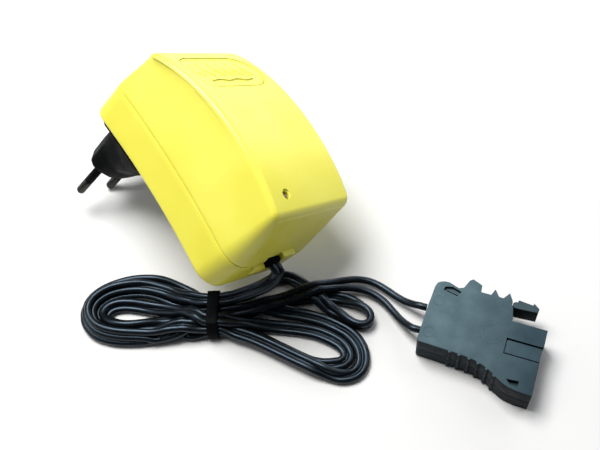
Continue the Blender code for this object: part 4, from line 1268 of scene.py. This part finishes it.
def make_latch():
    """Sprung arm with a hook, round its pivot in the side of the connector."""
    round_root = [(LATCH_R * cos(radians(a)), LATCH_R * sin(radians(a))) for a in range(80, 281, 10)]
    arm = [(1.2, -LATCH_R), (9.2, -1.0), (9.4, 1.0), (6.9, 3.0), (6.6, 2.0), (0.6, 2.6)]
    hinge = CONNECTOR @ Matrix.Translation(Vector((*LATCH_PIVOT, 0)) * MM)
    slab = rounded_slab(round_root + arm, *LATCH_Z, 0.25)
    # The latch arm gets a shaded copy of the slate at 0.6 brightness: painted shade in place of the
    # mating-end shade, which its own frame does not reach.
    return add_mesh("latch_arm", *slab, hinge, slate_plastic("latch_slate_painted_shade", 0.6), body=LATCH, smooth=40)


def make_connector():
    slate = slate_plastic("connector_slate")
    lower = make_half("connector_lower", 0.0, CONN_SPLIT - SPLIT_GAP / 2, slate)
    upper = make_half("connector_upper", CONN_SPLIT + SPLIT_GAP / 2, CONN_H, slate)
    mark_top(upper)
    latch = make_latch()
    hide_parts("connector_shell")
    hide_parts("connector_cover")
    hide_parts("connector_latch")
    return lower, upper, latch


# --------------------------------------------------- pieces kept from the CAD

def dress_inner_nodes():
    """Procedural finishes for the CAD nodes that stay in view or show through an opening."""
    finishes = {
        "transformer_core": banded("core_laminations", (0.30, 0.30, 0.31), 0.5, 0.45, 0.9),
        "transformer_bobbin": plain_moulding("bobbin_nylon", (0.72, 0.69, 0.58), 0.5),
        "primary_winding": banded("fine_copper", (0.52, 0.20, 0.08), 0.18, 0.3, 0.85),
        "secondary_winding": banded("thick_copper", (0.60, 0.25, 0.10), 0.8, 0.28, 0.85),
        "circuit_board": plain_moulding("board_green", (0.03, 0.20, 0.08), 0.4, 1.5),
        "capacitor": plain_moulding("capacitor_sleeve", (0.02, 0.025, 0.06), 0.3),
        "fuse": plain_moulding("fuse_glass", (0.62, 0.66, 0.64), 0.1, 2.0),
        "resistor": plain_moulding("resistor_body", (0.55, 0.45, 0.28), 0.45, 0.8),
    }
    diode = plain_moulding("diode_epoxy", (0.02, 0.02, 0.022), 0.45, 0.8)
    brass = brushed_metal("contact_brass", (0.62, 0.47, 0.20), 0.3, (12, 1, 1))
    keeper = plain_moulding("keeper_nylon", (0.70, 0.67, 0.58), 0.5, 2.0)
    for k in range(4):
        finishes["diode_%d" % (k + 1)] = diode
    for name in ("strap_left", "strap_right", "terminal_a", "terminal_b"):
        finishes[name] = brass
    finishes["terminal_keeper"] = keeper
    for name, mat in finishes.items():
        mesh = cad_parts[name].data
        mesh.materials.clear()
        mesh.materials.append(mat)


# ------------------------------------------------------------ stage and light

def make_stage():
    n = Nodes("studio_floor", (0.54, 0.54, 0.545), 0.8, specular=0.2)
    n.colour(n.ramp(n.noise(180, 2), [(0.3, (0.535, 0.537, 0.54)), (0.7, (0.55, 0.552, 0.556))]))
    size = 3.0
    mesh = bpy.data.meshes.new("floor")
    corners = [(-size, -size, 0), (size, -size, 0), (size, size, 0), (-size, size, 0)]
    mesh.from_pydata(corners, [], [(0, 1, 2, 3)])
    mesh.materials.append(n.mat)
    floor = bpy.data.objects.new("floor", mesh)
    floor.location.z = -0.0002
    bpy.context.scene.collection.objects.link(floor)


def area_light(name, place, target, size, power, colour):
    """Softbox; place and target are in mm in the table frame."""
    data = bpy.data.lights.new(name, "AREA")
    data.shape = "RECTANGLE"
    data.size, data.size_y = size
    data.energy = power
    data.color = colour
    light = bpy.data.objects.new(name, data)
    bpy.context.scene.collection.objects.link(light)
    start = TABLE @ (Vector(place) * MM)
    aim = TABLE @ (Vector(target) * MM)
    light.location = start
    light.rotation_mode = "QUATERNION"
    light.rotation_quaternion = (aim - start).to_track_quat("-Z", "Y")


def make_lights():
    area_light("key", (-180, 150, 700), (-10, -20, 20), (0.40, 0.40), 10.4, (1.0, 0.99, 0.97))
    area_light("back", (300, 640, 230), (0, 0, 30), (0.60, 0.40), 2.8, (0.95, 0.98, 1.0))
    area_light("left", (-620, -60, 380), (-20, 0, 20), (0.50, 0.50), 1.2, (1.0, 0.99, 0.97))
    area_light("right", (520, 160, 520), (0, 0, 20), (0.40, 0.40), 1.3, (0.97, 0.99, 1.0))
    world = bpy.data.worlds.new("studio")
    world.use_nodes = True
    background = world.node_tree.nodes["Background"]
    background.inputs["Color"].default_value = (0.92, 0.96, 1.0, 1)
    background.inputs["Strength"].default_value = 0.08
    bpy.context.scene.world = world
    bpy.context.scene.view_settings.view_transform = "Standard"


# -------------------------------------------------------------------- build

housing = make_housing()
lamp = make_lamp()
gland = make_gland(black_plastic("gland_black", 0.5))
plug_black, pins = make_plug()
screws = make_screws()
tie = make_tie(line_a, line_b)
lower, upper, latch = make_connector()
made = housing + plug_black + pins + screws
made += [lamp, gland, core_a, core_b, cord_web, tie, lower, upper, latch]
for piece in made:
    finish_mesh(piece)
bpy.context.view_layer.update()
for piece in housing + [core_a, core_b, cord_web, tie]:
    settle(piece)
dress_inner_nodes()

make_stage()
make_lights()
